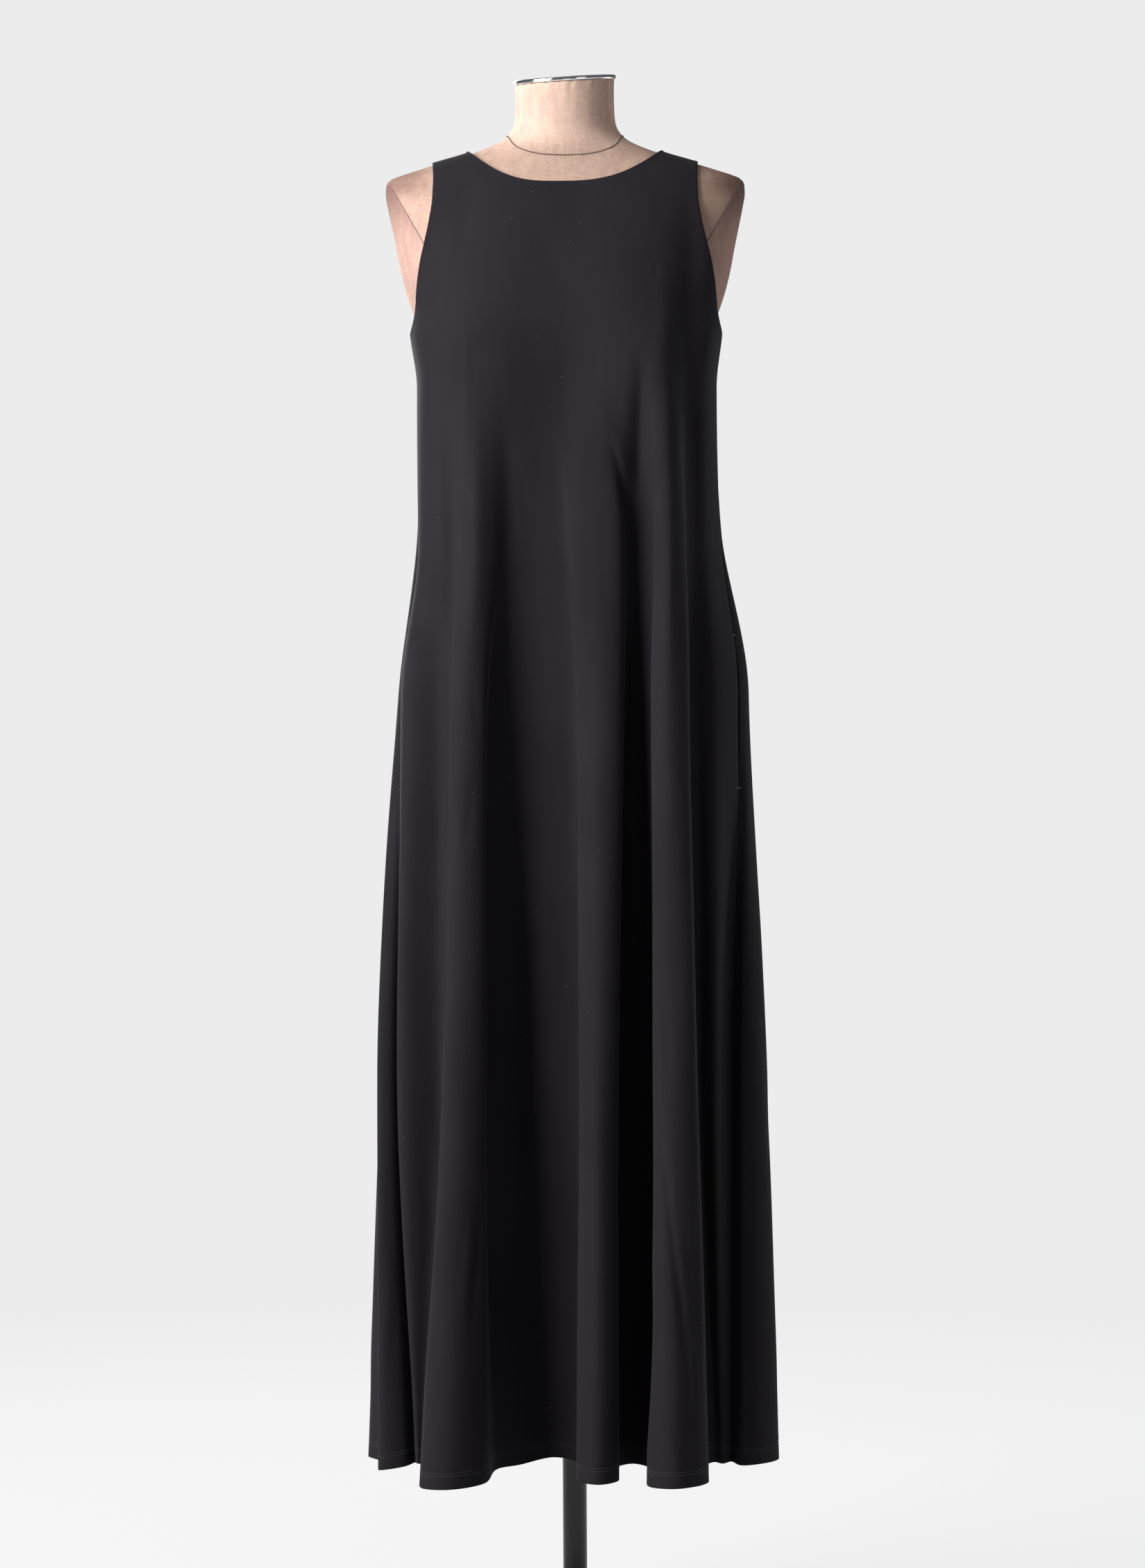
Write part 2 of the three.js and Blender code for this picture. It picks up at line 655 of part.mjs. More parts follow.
// The pocket bag lies inside the front panel, from just behind the side seam to the first pipe.
function pocketGrid(side) {
  const inward = side === "right" ? 1 : -1;
  const seam = side === "right" ? 0 : frontCount;
  const heights = skirtHeights.filter((z) => z >= pocket.bagBottom - 1 && z <= pocket.top + 1);
  const places = [-0.35];
  for (let k = 0; k <= pocket.columns; k += 1) places.push(k / columnsPerSegment);
  if (inward < 0) places.reverse();
  return heights.map((z) => {
    const row = [];
    for (const away of places) {
      const place = seam + inward * away;
      const point = skirtPoint(place, z);
      const across = skirtPoint(place + 0.05, z).sub(skirtPoint(place - 0.05, z));
      const up = skirtPoint(place, z + 1).sub(skirtPoint(place, z - 1));
      row.push({ point, normal: across.cross(up).normalize() });
    }
    return row;
  });
}

// A closed solid through level rings that all have the same number of points.
function loftGeometry(rings) {
  const count = rings[0].length;
  const positions = rings.flat().flatMap((point) => point.toArray());
  const index = [];
  for (let r = 0; r < rings.length - 1; r += 1) {
    for (let k = 0; k < count; k += 1) {
      const next = (k + 1) % count;
      const a = r * count + k;
      const b = r * count + next;
      index.push(a, b, b + count, a, b + count, a + count);
    }
  }
  for (const [ring, facing] of [[0, -1], [rings.length - 1, 1]]) {
    const sum = rings[ring].reduce((total, point) => total.add(point), new THREE.Vector3());
    const middle = sum.divideScalar(count);
    const hub = positions.length / 3;
    positions.push(...middle.toArray());
    for (let k = 0; k < count; k += 1) {
      const pair = [ring * count + k, ring * count + ((k + 1) % count)];
      if (facing < 0) pair.reverse();
      index.push(hub, ...pair);
    }
  }
  return new THREE.BufferGeometry()
    .setAttribute("position", new THREE.Float32BufferAttribute(positions, 3))
    .setIndex(index);
}

// The neck's top and its cap lie in one tilted plane.
function tiltRise(x, y) {
  return capSideTilt * x + capForwardTilt * (y - capCentreY);
}

function formRing(section) {
  const ring = [];
  const tilt = THREE.MathUtils.smoothstep(section.z, 1594, neckTop);
  for (let k = 0; k < formSides; k += 1) {
    const angle = (2 * Math.PI * k) / formSides;
    const cos = Math.cos(angle);
    const sin = Math.sin(angle);
    const x = section.half * Math.sign(cos) * Math.abs(cos) ** (2 / section.power);
    const round = Math.abs(sin) ** (2 / section.power);
    const depth = sin < 0 ? section.front - bustRise(x, section.z) : section.back;
    const y = mix(section.side, depth, round);
    ring.push(new THREE.Vector3(x + bodyShift, y, section.z + tilt * tiltRise(x, y)));
  }
  return ring;
}

function capGeometry() {
  const edge = capThickness * 0.28;
  const levelsOfCap = [
    { up: 0.3, radius: capRadius - edge },
    { up: 0.3 + edge, radius: capRadius },
    { up: capThickness - edge, radius: capRadius },
    { up: capThickness, radius: capRadius - edge },
  ];
  const rings = levelsOfCap.map(({ up, radius }) => {
    const ring = [];
    for (let k = 0; k < roundSides; k += 1) {
      const angle = (2 * Math.PI * k) / roundSides;
      const x = radius * Math.cos(angle);
      const y = capCentreY + radius * Math.sin(angle);
      ring.push(new THREE.Vector3(x + bodyShift, y, neckTop + up + tiltRise(x, y)));
    }
    return ring;
  });
  return loftGeometry(rings);
}

function lathe(profile) {
  const points = profile.map(([radius, height]) => new THREE.Vector2(radius, height));
  return new THREE.LatheGeometry(points, roundSides).rotateX(Math.PI / 2);
}

const materials = {
  jersey: new THREE.MeshStandardMaterial({ color: 0x2c2a2e, roughness: 0.82, metalness: 0 }),
  cover: new THREE.MeshStandardMaterial({ color: 0xc9a898, roughness: 0.85, metalness: 0 }),
  chrome: new THREE.MeshStandardMaterial({ color: 0xc8ccd2, roughness: 0.12, metalness: 1 }),
  blackMetal: new THREE.MeshStandardMaterial({ color: 0x2a2b2d, roughness: 0.45, metalness: 0.6 }),
};

function add(group, name, geometry, material) {
  const mesh = new THREE.Mesh(geometry, material);
  mesh.name = name;
  group.add(mesh);
}

function makeDress() {
  const dress = new THREE.Group();
  add(dress, "dress_front", wallGeometry(panelGrid("front"), clothThickness), materials.jersey);
  add(dress, "dress_back", wallGeometry(panelGrid("back"), clothThickness), materials.jersey);
  for (const side of ["right", "left"]) {
    const grid = pocketGrid(side);
    const turned = side === "right" ? grid[0].length : 0; // as on the panel that it lies against
    const bag = wallGeometry(grid, pocket.thickness, -pocket.inset, turned);
    add(dress, "pocket_" + side, bag, materials.jersey);
  }
  return dress;
}

function makeForm() {
  const form = new THREE.Group();
  add(form, "form_torso", loftGeometry(formSections.map(formRing)), materials.cover);
  add(form, "neck_cap", capGeometry(), materials.chrome);
  return form;
}

function makeStand() {
  const stand = new THREE.Group();
  const top = formBottom - seamGap;
  const flange = [
    [0, -flangeThickness], [flangeRadius, -flangeThickness], [flangeRadius, 0], [0, 0],
  ];
  add(stand, "form_flange", lathe(flange).translate(0, 0, top), materials.blackMetal);
  const poleTop = top - flangeThickness - seamGap;
  const poleFoot = baseThickness + hubHeight + seamGap;
  const pole = [[0, poleFoot], [poleRadius, poleFoot], [poleRadius, poleTop], [0, poleTop]];
  add(stand, "pole", lathe(pole), materials.blackMetal);
  const base = [
    [0, 0], [baseRadius - 2, 0], [baseRadius, 2], [baseRadius, baseThickness - 2],
    [baseRadius - 2, baseThickness], [hubRadius, baseThickness], [hubRadius, baseThickness + hubHeight],
    [0, baseThickness + hubHeight],
  ];
  add(stand, "stand_base", lathe(base), materials.blackMetal);
  return stand;
}

const worn = new THREE.Group();
worn.add(makeDress(), makeForm(), makeStand());

export default worn;
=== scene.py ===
import math

import bmesh
import bpy
import numpy as np
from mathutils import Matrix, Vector


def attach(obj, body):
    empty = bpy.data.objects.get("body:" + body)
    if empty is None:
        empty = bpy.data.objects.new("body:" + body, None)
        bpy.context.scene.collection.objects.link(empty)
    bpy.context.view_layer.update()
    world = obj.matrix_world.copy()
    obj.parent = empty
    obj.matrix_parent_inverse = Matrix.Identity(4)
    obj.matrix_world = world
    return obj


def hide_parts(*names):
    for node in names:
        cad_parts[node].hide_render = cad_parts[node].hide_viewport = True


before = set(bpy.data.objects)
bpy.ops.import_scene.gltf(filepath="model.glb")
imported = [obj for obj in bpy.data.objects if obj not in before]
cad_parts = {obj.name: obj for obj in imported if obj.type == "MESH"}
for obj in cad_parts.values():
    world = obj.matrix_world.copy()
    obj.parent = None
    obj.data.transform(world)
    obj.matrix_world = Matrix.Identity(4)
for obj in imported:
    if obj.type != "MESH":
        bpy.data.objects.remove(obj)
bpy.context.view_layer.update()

# A long sleeveless jersey dress worn by a limbless dress form on a pole stand.
# The front of the dress faces -Y, and the wearer's right side is at -X.
# Tables and sizes are in millimetres, and meshes are made in metres.
mm = 0.001
print("frame loaded")

# Camera, level with the skirt, and turned very slightly as the photograph is
view = {"distance": 4500, "height": 906, "side": 1.7, "frameHeight": 1643, "roll": 0.0056, "sensor": 24}


def makeCamera():
    data = bpy.data.cameras.new("studioCamera")
    data.sensor_fit = "VERTICAL"
    data.sensor_height = view["sensor"]
    data.lens = view["sensor"] * view["distance"] / view["frameHeight"]
    data.clip_end = 50
    camera = bpy.data.objects.new("studioCamera", data)
    camera.location = (view["side"] * mm, -view["distance"] * mm, view["height"] * mm)
    camera.rotation_euler = (math.pi / 2, view["roll"], 0)
    bpy.context.scene.collection.objects.link(camera)
    bpy.context.scene.camera = camera


makeCamera()
print("camera set")


# Curves and tables
def smoothAt(places, values, at):
    # a curve through the values that never overshoots them
    places, values = np.asarray(places, float), np.asarray(values, float)
    at = np.clip(np.asarray(at, float), places[0], places[-1])
    gaps = np.diff(places)
    slopes = np.diff(values) / gaps
    product, total = slopes[:-1] * slopes[1:], slopes[:-1] + slopes[1:]
    inner = np.where(product > 0, 2 * product / np.where(total == 0, 1, total), 0)
    tangents = np.concatenate([slopes[:1], inner, slopes[-1:]])
    k = np.clip(np.searchsorted(places, at, side="right") - 1, 0, len(gaps) - 1)
    t = (at - places[k]) / gaps[k]
    u = 1 - t
    start = values[k] * (1 + 2 * t) * u * u + gaps[k] * tangents[k] * t * u * u
    return start + values[k + 1] * t * t * (3 - 2 * t) - gaps[k] * tangents[k + 1] * t * t * u


def columnAt(table, column, z):
    return smoothAt(table["z"], table[column], z)


def mix(a, b, t):
    return a + (b - a) * t


def easeStep(at, low, high):
    t = np.clip((np.asarray(at, float) - low) / (high - low), 0, 1)
    return t * t * (3 - 2 * t)


def bell(away, width):
    return np.exp(-(away / width) ** 2)


def unit(vectors):
    return vectors / np.linalg.norm(vectors, axis=-1, keepdims=True)


def pathLengths(path):
    return np.concatenate([[0], np.cumsum(np.linalg.norm(np.diff(path, axis=0), axis=1))])


def resample(at, lengths, points):
    # the points of a path at other distances along it
    return np.stack([np.interp(at, lengths, points[:, axis]) for axis in range(3)], -1)


# Mesh helpers
def activate(piece):
    bpy.ops.object.select_all(action="DESELECT")
    piece.select_set(True)
    bpy.context.view_layer.objects.active = piece


def newPiece(name, points, faces, material, uvs=None):
    mesh = bpy.data.meshes.new(name)
    mesh.from_pydata([tuple(p) for p in points], [], faces)
    if uvs is not None:
        layer = mesh.uv_layers.new(name="clothMap")
        corner = np.empty(len(mesh.loops), np.int32)
        mesh.loops.foreach_get("vertex_index", corner)
        layer.data.foreach_set("uv", np.asarray(uvs, np.float32)[corner].ravel())
    piece = bpy.data.objects.new(name, mesh)
    bpy.context.scene.collection.objects.link(piece)
    mesh.materials.append(material)
    mesh.polygons.foreach_set("use_smooth", [True] * len(mesh.polygons))
    return piece


def gridFaces(rows, columns, closed=False):
    r, c = np.meshgrid(np.arange(rows - 1), np.arange(columns if closed else columns - 1), indexing="ij")
    low, after = r * columns, (c + 1) % columns
    high = low + columns
    return np.stack([low + c, low + after, high + after, high + c], -1).reshape(-1, 4).tolist()


def thicken(piece, thickness, offset=0.0):
    activate(piece)
    solidify = piece.modifiers.new("thickness", "SOLIDIFY")
    solidify.thickness = thickness * mm
    solidify.offset = offset
    solidify.use_even_offset = False
    bpy.ops.object.modifier_apply(modifier=solidify.name)


def settle(piece):
    # the object's place, turn and scale go into its mesh
    activate(piece)
    bpy.ops.object.transform_apply(location=True, rotation=True, scale=True)
    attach(piece, "root")


def gridNormals(points):
    across = np.gradient(points, axis=1)
    up = np.gradient(points, axis=0)
    normals = np.cross(across, up)
    return normals / np.maximum(np.linalg.norm(normals, axis=2, keepdims=True), 1e-9)


# Materials
def setSockets(tree, node, sockets):
    # a socket takes a fixed value, or the output of another node
    for name, value in sockets.items():
        if isinstance(value, bpy.types.NodeSocket):
            tree.links.new(value, node.inputs[name])
        else:
            node.inputs[name].default_value = value


def addNode(tree, kind, sockets, **settings):
    node = tree.nodes.new("ShaderNode" + kind)
    for name, value in settings.items():
        setattr(node, name, value)
    setSockets(tree, node, sockets)
    return node


def newMaterial(name, sockets):
    material = bpy.data.materials.new(name)
    material.use_nodes = True
    tree = material.node_tree
    shader = tree.nodes["Principled BSDF"]
    setSockets(tree, shader, sockets)
    return material, tree, shader


def objectPlace(tree):
    return addNode(tree, "TexCoord", {}).outputs["Object"]


def addNoise(tree, place, scale, detail=3.0, stretch=None):
    if stretch:
        place = addNode(tree, "Mapping", {"Vector": place, "Scale": stretch}).outputs["Vector"]
    return addNode(tree, "TexNoise", {"Vector": place, "Scale": scale, "Detail": detail}).outputs["Fac"]


def addWave(tree, place, direction, spacing):
    # bands at a spacing in millimetres
    sockets = {"Vector": place, "Scale": 1 / (spacing * mm) / (4 * math.pi), "Distortion": 0, "Detail": 2,
               "Detail Scale": 3}
    return addNode(tree, "TexWave", sockets, bands_direction=direction).outputs["Fac"]


def addMath(tree, operation, first, second):
    return addNode(tree, "Math", {0: first, 1: second}, operation=operation).outputs[0]


def addBlend(tree, first, second, share):
    return addMath(tree, "ADD", addMath(tree, "MULTIPLY", first, share),
                   addMath(tree, "MULTIPLY", second, 1 - share))


def addTint(tree, first, second):
    sockets = {"Factor": 1, "A": first, "B": second}
    return addNode(tree, "Mix", sockets, data_type="RGBA", blend_type="MULTIPLY").outputs["Result"]


def addRamp(tree, factor, *stops):
    ramp = addNode(tree, "ValToRGB", {"Fac": factor})
    for element, (place, colour) in zip(ramp.color_ramp.elements, (stops[0], stops[-1])):
        element.position = place
        element.color = (*colour, 1)
    for place, colour in stops[1:-1]:
        ramp.color_ramp.elements.new(place).color = (*colour, 1)
    return ramp.outputs["Color"]


def addBump(tree, shader, height, strength, distance, before=None):
    sockets = {"Strength": strength, "Distance": distance * mm, "Height": height}
    if before:
        sockets["Normal"] = before
    normal = addNode(tree, "Bump", sockets).outputs["Normal"]
    setSockets(tree, shader, {"Normal": normal})
    return normal


def grey(level):
    return (level,) * 3


jersey = {
    "dark": (0.019, 0.0165, 0.0205), "light": (0.0265, 0.0235, 0.028), "wale": 1.1, "course": 0.8,
    "roughness": 0.85, "sheen": 0.03, "sheenRoughness": 0.45, "specular": 0.08,
    "lint": (0.14, 0.13, 0.13), "lintCells": 85, "lintSize": 0.045, "lintAbove": 0.93,
}


def jerseyMaterial(name, brightness=1.0):
    material, tree, shader = newMaterial(name, {
        "Roughness": jersey["roughness"], "Sheen Weight": jersey["sheen"],
        "Sheen Roughness": jersey["sheenRoughness"], "Specular IOR Level": jersey["specular"]})
    place = addNode(tree, "UVMap", {}, uv_map="clothMap").outputs["UV"]
    # the knit's wales run down the cloth, with small courses across them
    knit = addMath(tree, "MULTIPLY", addWave(tree, place, "X", jersey["wale"]),
                   addWave(tree, place, "Y", jersey["course"]))
    # cloudy dye, slightly streaked along the length
    cloud = addNoise(tree, place, 9.0, 4.0, (1.6, 0.7, 1))
    fuzz = addNoise(tree, place, 700.0, 2.0)
    dark, light = (tuple(v * brightness for v in jersey[key]) for key in ("dark", "light"))
    colour = addRamp(tree, addBlend(tree, cloud, fuzz, 0.7), (0.3, dark), (0.7, light))
    # a few specks of lint caught on the cloth
    specks = addNode(tree, "TexVoronoi", {"Vector": place, "Scale": jersey["lintCells"]})
    near = addMath(tree, "LESS_THAN", specks.outputs["Distance"], jersey["lintSize"])
    chance = addNode(tree, "SeparateColor", {"Color": specks.outputs["Color"]}).outputs["Red"]
    lint = addMath(tree, "MULTIPLY", near, addMath(tree, "GREATER_THAN", chance, jersey["lintAbove"]))
    dusted = addNode(tree, "Mix", {"Factor": lint, "A": colour, "B": (*jersey["lint"], 1)}, data_type="RGBA")
    rough = addRamp(tree, fuzz, (0.2, grey(0.8)), (0.8, grey(0.92)))
    setSockets(tree, shader, {"Base Color": dusted.outputs["Result"], "Roughness": rough})
    soft = addBump(tree, shader, addNoise(tree, place, 60.0, 3.0, (1.0, 0.6, 1)), 0.25, 0.6)
    addBump(tree, shader, knit, 0.35, 0.12, soft)
    return material


linen = {
    "pale": (0.93, 0.69, 0.56), "warm": (0.87, 0.61, 0.49), "mauve": (0.76, 0.53, 0.45), "thread": 0.9,
    "roughness": 0.85, "sheen": 0.02, "specular": 0.15,
    # the plate tint is a rosier cloth, darkened by painted shade towards the plate tops
    "plate": (0.3, 0.25, 0.27), "chest": (0.72, 0.7, 0.69), "shoulder": (0.8, 0.76, 0.75),
    # the tint for the shoulder tops is painted shade
    "shadedTop": (0.5, 0.46, 0.47),
}


def linenMaterial(name):
    material, tree, shader = newMaterial(name, {
        "Roughness": linen["roughness"], "Sheen Weight": linen["sheen"],
        "Specular IOR Level": linen["specular"]})
    place = objectPlace(tree)
    # fine threads up and across, as a plain canvas has
    fine = 1 / (linen["thread"] * mm)
    upright = addNoise(tree, place, fine, 1.0, (1, 1, 0.1))
    weave = addBlend(tree, upright, addNoise(tree, place, fine, 1.0, (0.1, 0.1, 1)), 0.5)
    slubs = addNoise(tree, place, 60.0, 4.0, (2.2, 2.2, 0.5))
    shade = addBlend(tree, slubs, addNoise(tree, place, 7.0), 0.5)
    cover = addRamp(tree, shade, (0.36, linen["mauve"]), (0.48, linen["warm"]), (0.62, linen["pale"]))
    threads = addRamp(tree, weave, (0.35, grey(0.8)), (0.65, grey(1.0)))
    # the form's tint, with painted shade on the shoulder and plate tops, is read from an attribute of its
    # points
    tintAndShade = addNode(tree, "Attribute", {}, attribute_name="tintAndShade").outputs["Color"]
    setSockets(tree, shader, {"Base Color": addTint(tree, addTint(tree, cover, threads), tintAndShade)})
    addBump(tree, shader, weave, 0.5, 0.15, addBump(tree, shader, slubs, 0.08, 0.4))
    return material


def threadMaterial(name, dark, light):
    material, tree, shader = newMaterial(name, {"Roughness": 0.7, "Sheen Weight": 0.3})
    twist = addNoise(tree, objectPlace(tree), 900.0, 2.0)
    setSockets(tree, shader, {"Base Color": addRamp(tree, twist, (0.3, dark), (0.7, light))})
    addBump(tree, shader, twist, 0.4, 0.2)
    return material


def metalMaterial(name, dark, light, roughness, metallic, grain):
    material, tree, shader = newMaterial(name, {"Metallic": metallic})
    place = objectPlace(tree)
    wear = addNoise(tree, place, 14.0, 5.0, grain)
    rough = addRamp(tree, wear, (0.25, grey(roughness * 0.8)), (0.75, grey(roughness * 1.25)))
    colour = addRamp(tree, wear, (0.3, dark), (0.7, light))
    setSockets(tree, shader, {"Base Color": colour, "Roughness": rough})
    addBump(tree, shader, addNoise(tree, place, 420.0, 2.0), 0.12, 0.05)
    return material


blackJersey = jerseyMaterial("blackJersey")
pocketJersey = jerseyMaterial("pocketJersey", 1.15)
coverLinen = linenMaterial("coverLinen")
blackThread = threadMaterial("blackThread", (0.018, 0.017, 0.019), (0.036, 0.033, 0.037))
greyThread = threadMaterial("greyThread", (0.05, 0.047, 0.052), (0.1, 0.095, 0.1))
brownThread = threadMaterial("brownThread", (0.1, 0.062, 0.055), (0.2, 0.13, 0.115))
capChrome = metalMaterial("capChrome", (0.72, 0.73, 0.75), (0.82, 0.83, 0.85), 0.1, 1.0, (1, 1, 6))
standBlack = metalMaterial("standBlack", (0.013, 0.013, 0.0145), (0.021, 0.021, 0.023), 0.36, 0.3,
                           (1, 1, 0.2))
print("materials ready")

# The form, as level sections from its bottom to the top of its neck
torso = {
    "z": [850, 880, 930, 980, 1040, 1100, 1160, 1220, 1270, 1320, 1373, 1401, 1423, 1445, 1466, 1488, 1510,
          1524, 1533, 1538.5, 1542, 1546, 1551, 1556, 1561, 1567, 1573, 1579, 1586, 1594, 1604, 1620, 1639],
    "half": [150, 157, 163, 163, 155, 138, 123, 128, 137, 145, 149, 160.4, 167.7, 173, 177, 181.5, 186,
             188.2, 187.8, 185, 177.5, 165, 149, 131, 112.5, 94, 77.5, 65.5, 58, 53.6, 52, 51.4, 51.3],
    "front": [-78, -83, -86, -87, -87, -84, -82, -87, -95, -106, -108, -107, -103.5, -99, -94, -87, -78,
              -72, -68.5, -66.5, -65, -63.5, -62, -61, -60.5, -60, -59.5, -59, -58.8, -59.2, -60, -61.5,
              -63.5],
    "back": [88, 95, 101, 102, 96, 83, 72, 78, 87, 95, 102, 105, 106, 105.5, 103, 99, 93,
             87, 82, 78, 75.5, 72.5, 68.5, 64.5, 61, 57, 53, 49.5, 46.5, 44, 42, 40, 38.5],
    "side": [6, 6, 6, 5, 2, -1, -4, -4, -3, -2, -1, 0, 1, 2, 2.5, 3, 3.5,
             4, 4, 4, 4, 4, 3.6, 2.9, 2.1, 1, -1, -4, -6, -8, -9.5, -11, -12.5],
    "power": [2.15, 2.15, 2.15, 2.1, 2.1, 2.1, 2.1, 2.15, 2.2, 2.25, 2.25, 2.2, 2.2, 2.2, 2.2, 2.2, 2.15,
              2.1, 2.05, 2, 2, 2, 2, 2, 2, 2, 2, 2, 2, 2, 2, 2, 2],
}
body = {"shift": -2.4, "bustX": 86, "bustZ": 1326, "bustRise": 19, "bustWidth": 37, "bustHeight": 46}
neckTilt = {"top": 1639, "from": 1594, "side": 0.059, "forward": 0.13, "centreY": -12.5}


def bustRise(x, z):
    across = (np.abs(x) - body["bustX"]) / body["bustWidth"]
    up = (z - body["bustZ"]) / body["bustHeight"]
    return body["bustRise"] * np.exp(-(across * across + up * up) / 2)


def tiltRise(x, y):
    return neckTilt["side"] * x + neckTilt["forward"] * (y - neckTilt["centreY"])


def torsoPoint(angle, z):
    angle, z = np.broadcast_arrays(np.asarray(angle, float), np.asarray(z, float))
    half, power, side = (columnAt(torso, name, z) for name in ("half", "power", "side"))
    x = half * np.sign(np.cos(angle)) * np.abs(np.cos(angle)) ** (2 / power)
    front, back = columnAt(torso, "front", z) - bustRise(x, z), columnAt(torso, "back", z)
    y = mix(side, np.where(np.sin(angle) < 0, front, back), np.abs(np.sin(angle)) ** (2 / power))
    rise = easeStep(z, neckTilt["from"], neckTilt["top"]) * tiltRise(x, y)
    return np.stack([x + body["shift"], y, z + rise], -1)


formSeams = {
    "neckFront": 1555.5, "neckSide": 1582.5, "neckBack": 1584, "neckFlat": 0.2, "neckCurve": 1.05,
    "neckSoft": 0.16, "neckPoints": 260, "radius": 0.55, "stitchPitch": 3.1, "stitchLength": 3.0,
    "stitchRadius": 0.3, "plateTopZ": 1528, "plateTopX": 180.6, "plateSlope": 0.55, "plateBottomZ": 1430,
    "platePoints": 60,
    # each seam's size against the thickest one, then the lean and lift of its stitches
    "neckSewing": (1, 0.9, 0.35), "plateSewing": (0.8, 0.8, 0.3),
}
form = {
    "sides": 168, "rowStep": 3.4, "tucks": 23, "smallTucks": 37, "tuckDepth": 0.55, "tuckHeight": 5,
    "shoulderFrom": 95, "shoulderTo": 150,
    # heights and reach sideways of the painted shade along the shoulder tops
    "shadedTopLow": 1508, "shadedTopHigh": 1530, "shadedTopFrom": 115, "shadedTopTo": 175,
}


def coverShade(points):
    # the cover's tint at each point of the form, with painted shade along the shoulder tops and towards the
    # plate tops
    away, z = np.abs(points[:, :1] - body["shift"]), points[:, 2:]
    names = ("chest", "shoulder", "shadedTop", "plate")
    chest, shoulder, shadedTop, plate = (np.array(linen[name]) for name in names)
    # the chest is a little darker than the neck, and the shoulders are darker than the chest
    below = easeStep(-z, -formSeams["neckSide"], -formSeams["neckFront"])
    shade = mix(1, mix(chest, shoulder, easeStep(away, form["shoulderFrom"], form["shoulderTo"])), below)
    # painted shade: both are darkened along the top of the shoulders
    top = easeStep(z, form["shadedTopLow"], form["shadedTopHigh"])
    shade = shade * mix(1, shadedTop, top * easeStep(away, form["shadedTopFrom"], form["shadedTopTo"]))
    # the plates at the arms are covered with a rosier piece of the cloth, and painted shade darkens them
    # towards their tops
    bottom = formSeams["plateBottomZ"]
    edge = formSeams["plateTopX"] - (formSeams["plateTopZ"] - z) * formSeams["plateSlope"]
    rosy = easeStep(away - edge, -2, 2) * easeStep(z, bottom - 20, bottom)
    fade = easeStep(z, bottom + 30, formSeams["plateTopZ"] + 10)
    return mix(shade, mix(shoulder * (1, 0.96, 1), plate, fade), rosy)


def makeTorso():
    low, high = torso["z"][0], torso["z"][-1]
    zs = np.linspace(low, high, int((high - low) / form["rowStep"]))[:, None]
    angles = np.linspace(0, 2 * math.pi, form["sides"], endpoint=False)
    points = torsoPoint(angles[None, :], zs)
    # the cover is turned over the top of the neck in small uneven tucks
    tuck = form["tuckDepth"] * np.exp(-(neckTilt["top"] - zs) / form["tuckHeight"])
    tuck = tuck * (np.sin(form["tucks"] * angles) + 0.6 * np.sin(form["smallTucks"] * angles + 1.3))[None, :]
    outward = points - np.array([body["shift"], 0, 0])
    outward[..., 2] = 0
    points = points + unit(outward) * tuck[..., None]
    rows, columns = points.shape[:2]
    faces = gridFaces(rows, columns, closed=True)
    # closed with a fan at the bottom and at the top
    for hub, row in ((rows * columns, 0), (rows * columns + 1, rows - 1)):
        for c in range(columns):
            a, b = row * columns + c, row * columns + (c + 1) % columns
            faces.append((hub, b, a) if row == 0 else (hub, a, b))
    allPoints = np.concatenate([points.reshape(-1, 3), points[[0, -1]].mean(axis=1)])
    piece = newPiece("formTorso", allPoints * mm, faces, coverLinen)
    # the tint, with its painted shade, is stored on the points
    shade = coverShade(allPoints)
    tintAndShade = piece.data.attributes.new("tintAndShade", "FLOAT_COLOR", "POINT")
    colours = np.append(shade, np.ones((len(shade), 1)), axis=1)
    tintAndShade.data.foreach_set("color", colours.astype(np.float32).ravel())
    piece.data.polygons.foreach_set("use_smooth", [len(p.vertices) == 4 for p in piece.data.polygons])
    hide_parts("form_torso")
    settle(piece)


makeTorso()
print("form made")


# Stitches and seam lines
def frameAlong(points):
    return unit(np.gradient(points, axis=0))


def stitchRow(path, outward, pitch, length, radius, lean=0.0, lift=0.0):
    # separate little stitches along a path; lean turns each of them across the path
    steps = pathLengths(path)
    count = max(1, int(steps[-1] / pitch))
    at = (np.arange(count) + 0.5) * steps[-1] / count
    place = resample(at, steps, path)
    out = unit(resample(at, steps, outward))
    along = unit(resample(at, steps, frameAlong(path)))
    along = along * math.cos(lean) + np.cross(out, along) * math.sin(lean)
    aside = np.cross(out, along)
    points, faces = [], []
    ring = [(math.cos(a), math.sin(a)) for a in np.linspace(0, 2 * math.pi, 6, endpoint=False)]
    sections = [(-0.5, 0.35, -0.9), (-0.3, 1.0, 0.1), (0.3, 1.0, 0.1), (0.5, 0.35, -0.9)]
    for k in range(count):
        base = len(points)
        for shift, size, rise in sections:
            for ca, sa in ring:
                p = place[k] + along[k] * shift * length + out[k] * (lift + radius * (rise + 0.8 * sa * size))
                points.append(p + aside[k] * radius * ca * size)
        for s in range(3):
            for n in range(6):
                a, b = base + s * 6 + n, base + s * 6 + (n + 1) % 6
                faces.append((a, a + 6, b + 6, b))
        faces.append(tuple(base + n for n in range(6)))
        faces.append(tuple(base + 18 + n for n in reversed(range(6))))
    return points, faces


def tubeAlong(path, outward, radius, sides=8, closed=False):
    aside = unit(np.cross(outward, frameAlong(path)))
    count = len(path)
    points = [path[k] + radius * (outward[k] * math.sin(a) + aside[k] * math.cos(a))
              for k in range(count) for a in np.linspace(0, 2 * math.pi, sides, endpoint=False)]
    faces = []
    for k in range(count if closed else count - 1):
        here, after = k * sides, (k + 1) % count * sides
        for n in range(sides):
            m = (n + 1) % sides
            faces.append((here + n, after + n, after + m, here + m))
    if not closed:
        faces.append(tuple(range(sides)))
        faces.append(tuple((count - 1) * sides + n for n in reversed(range(sides))))
    return points, faces


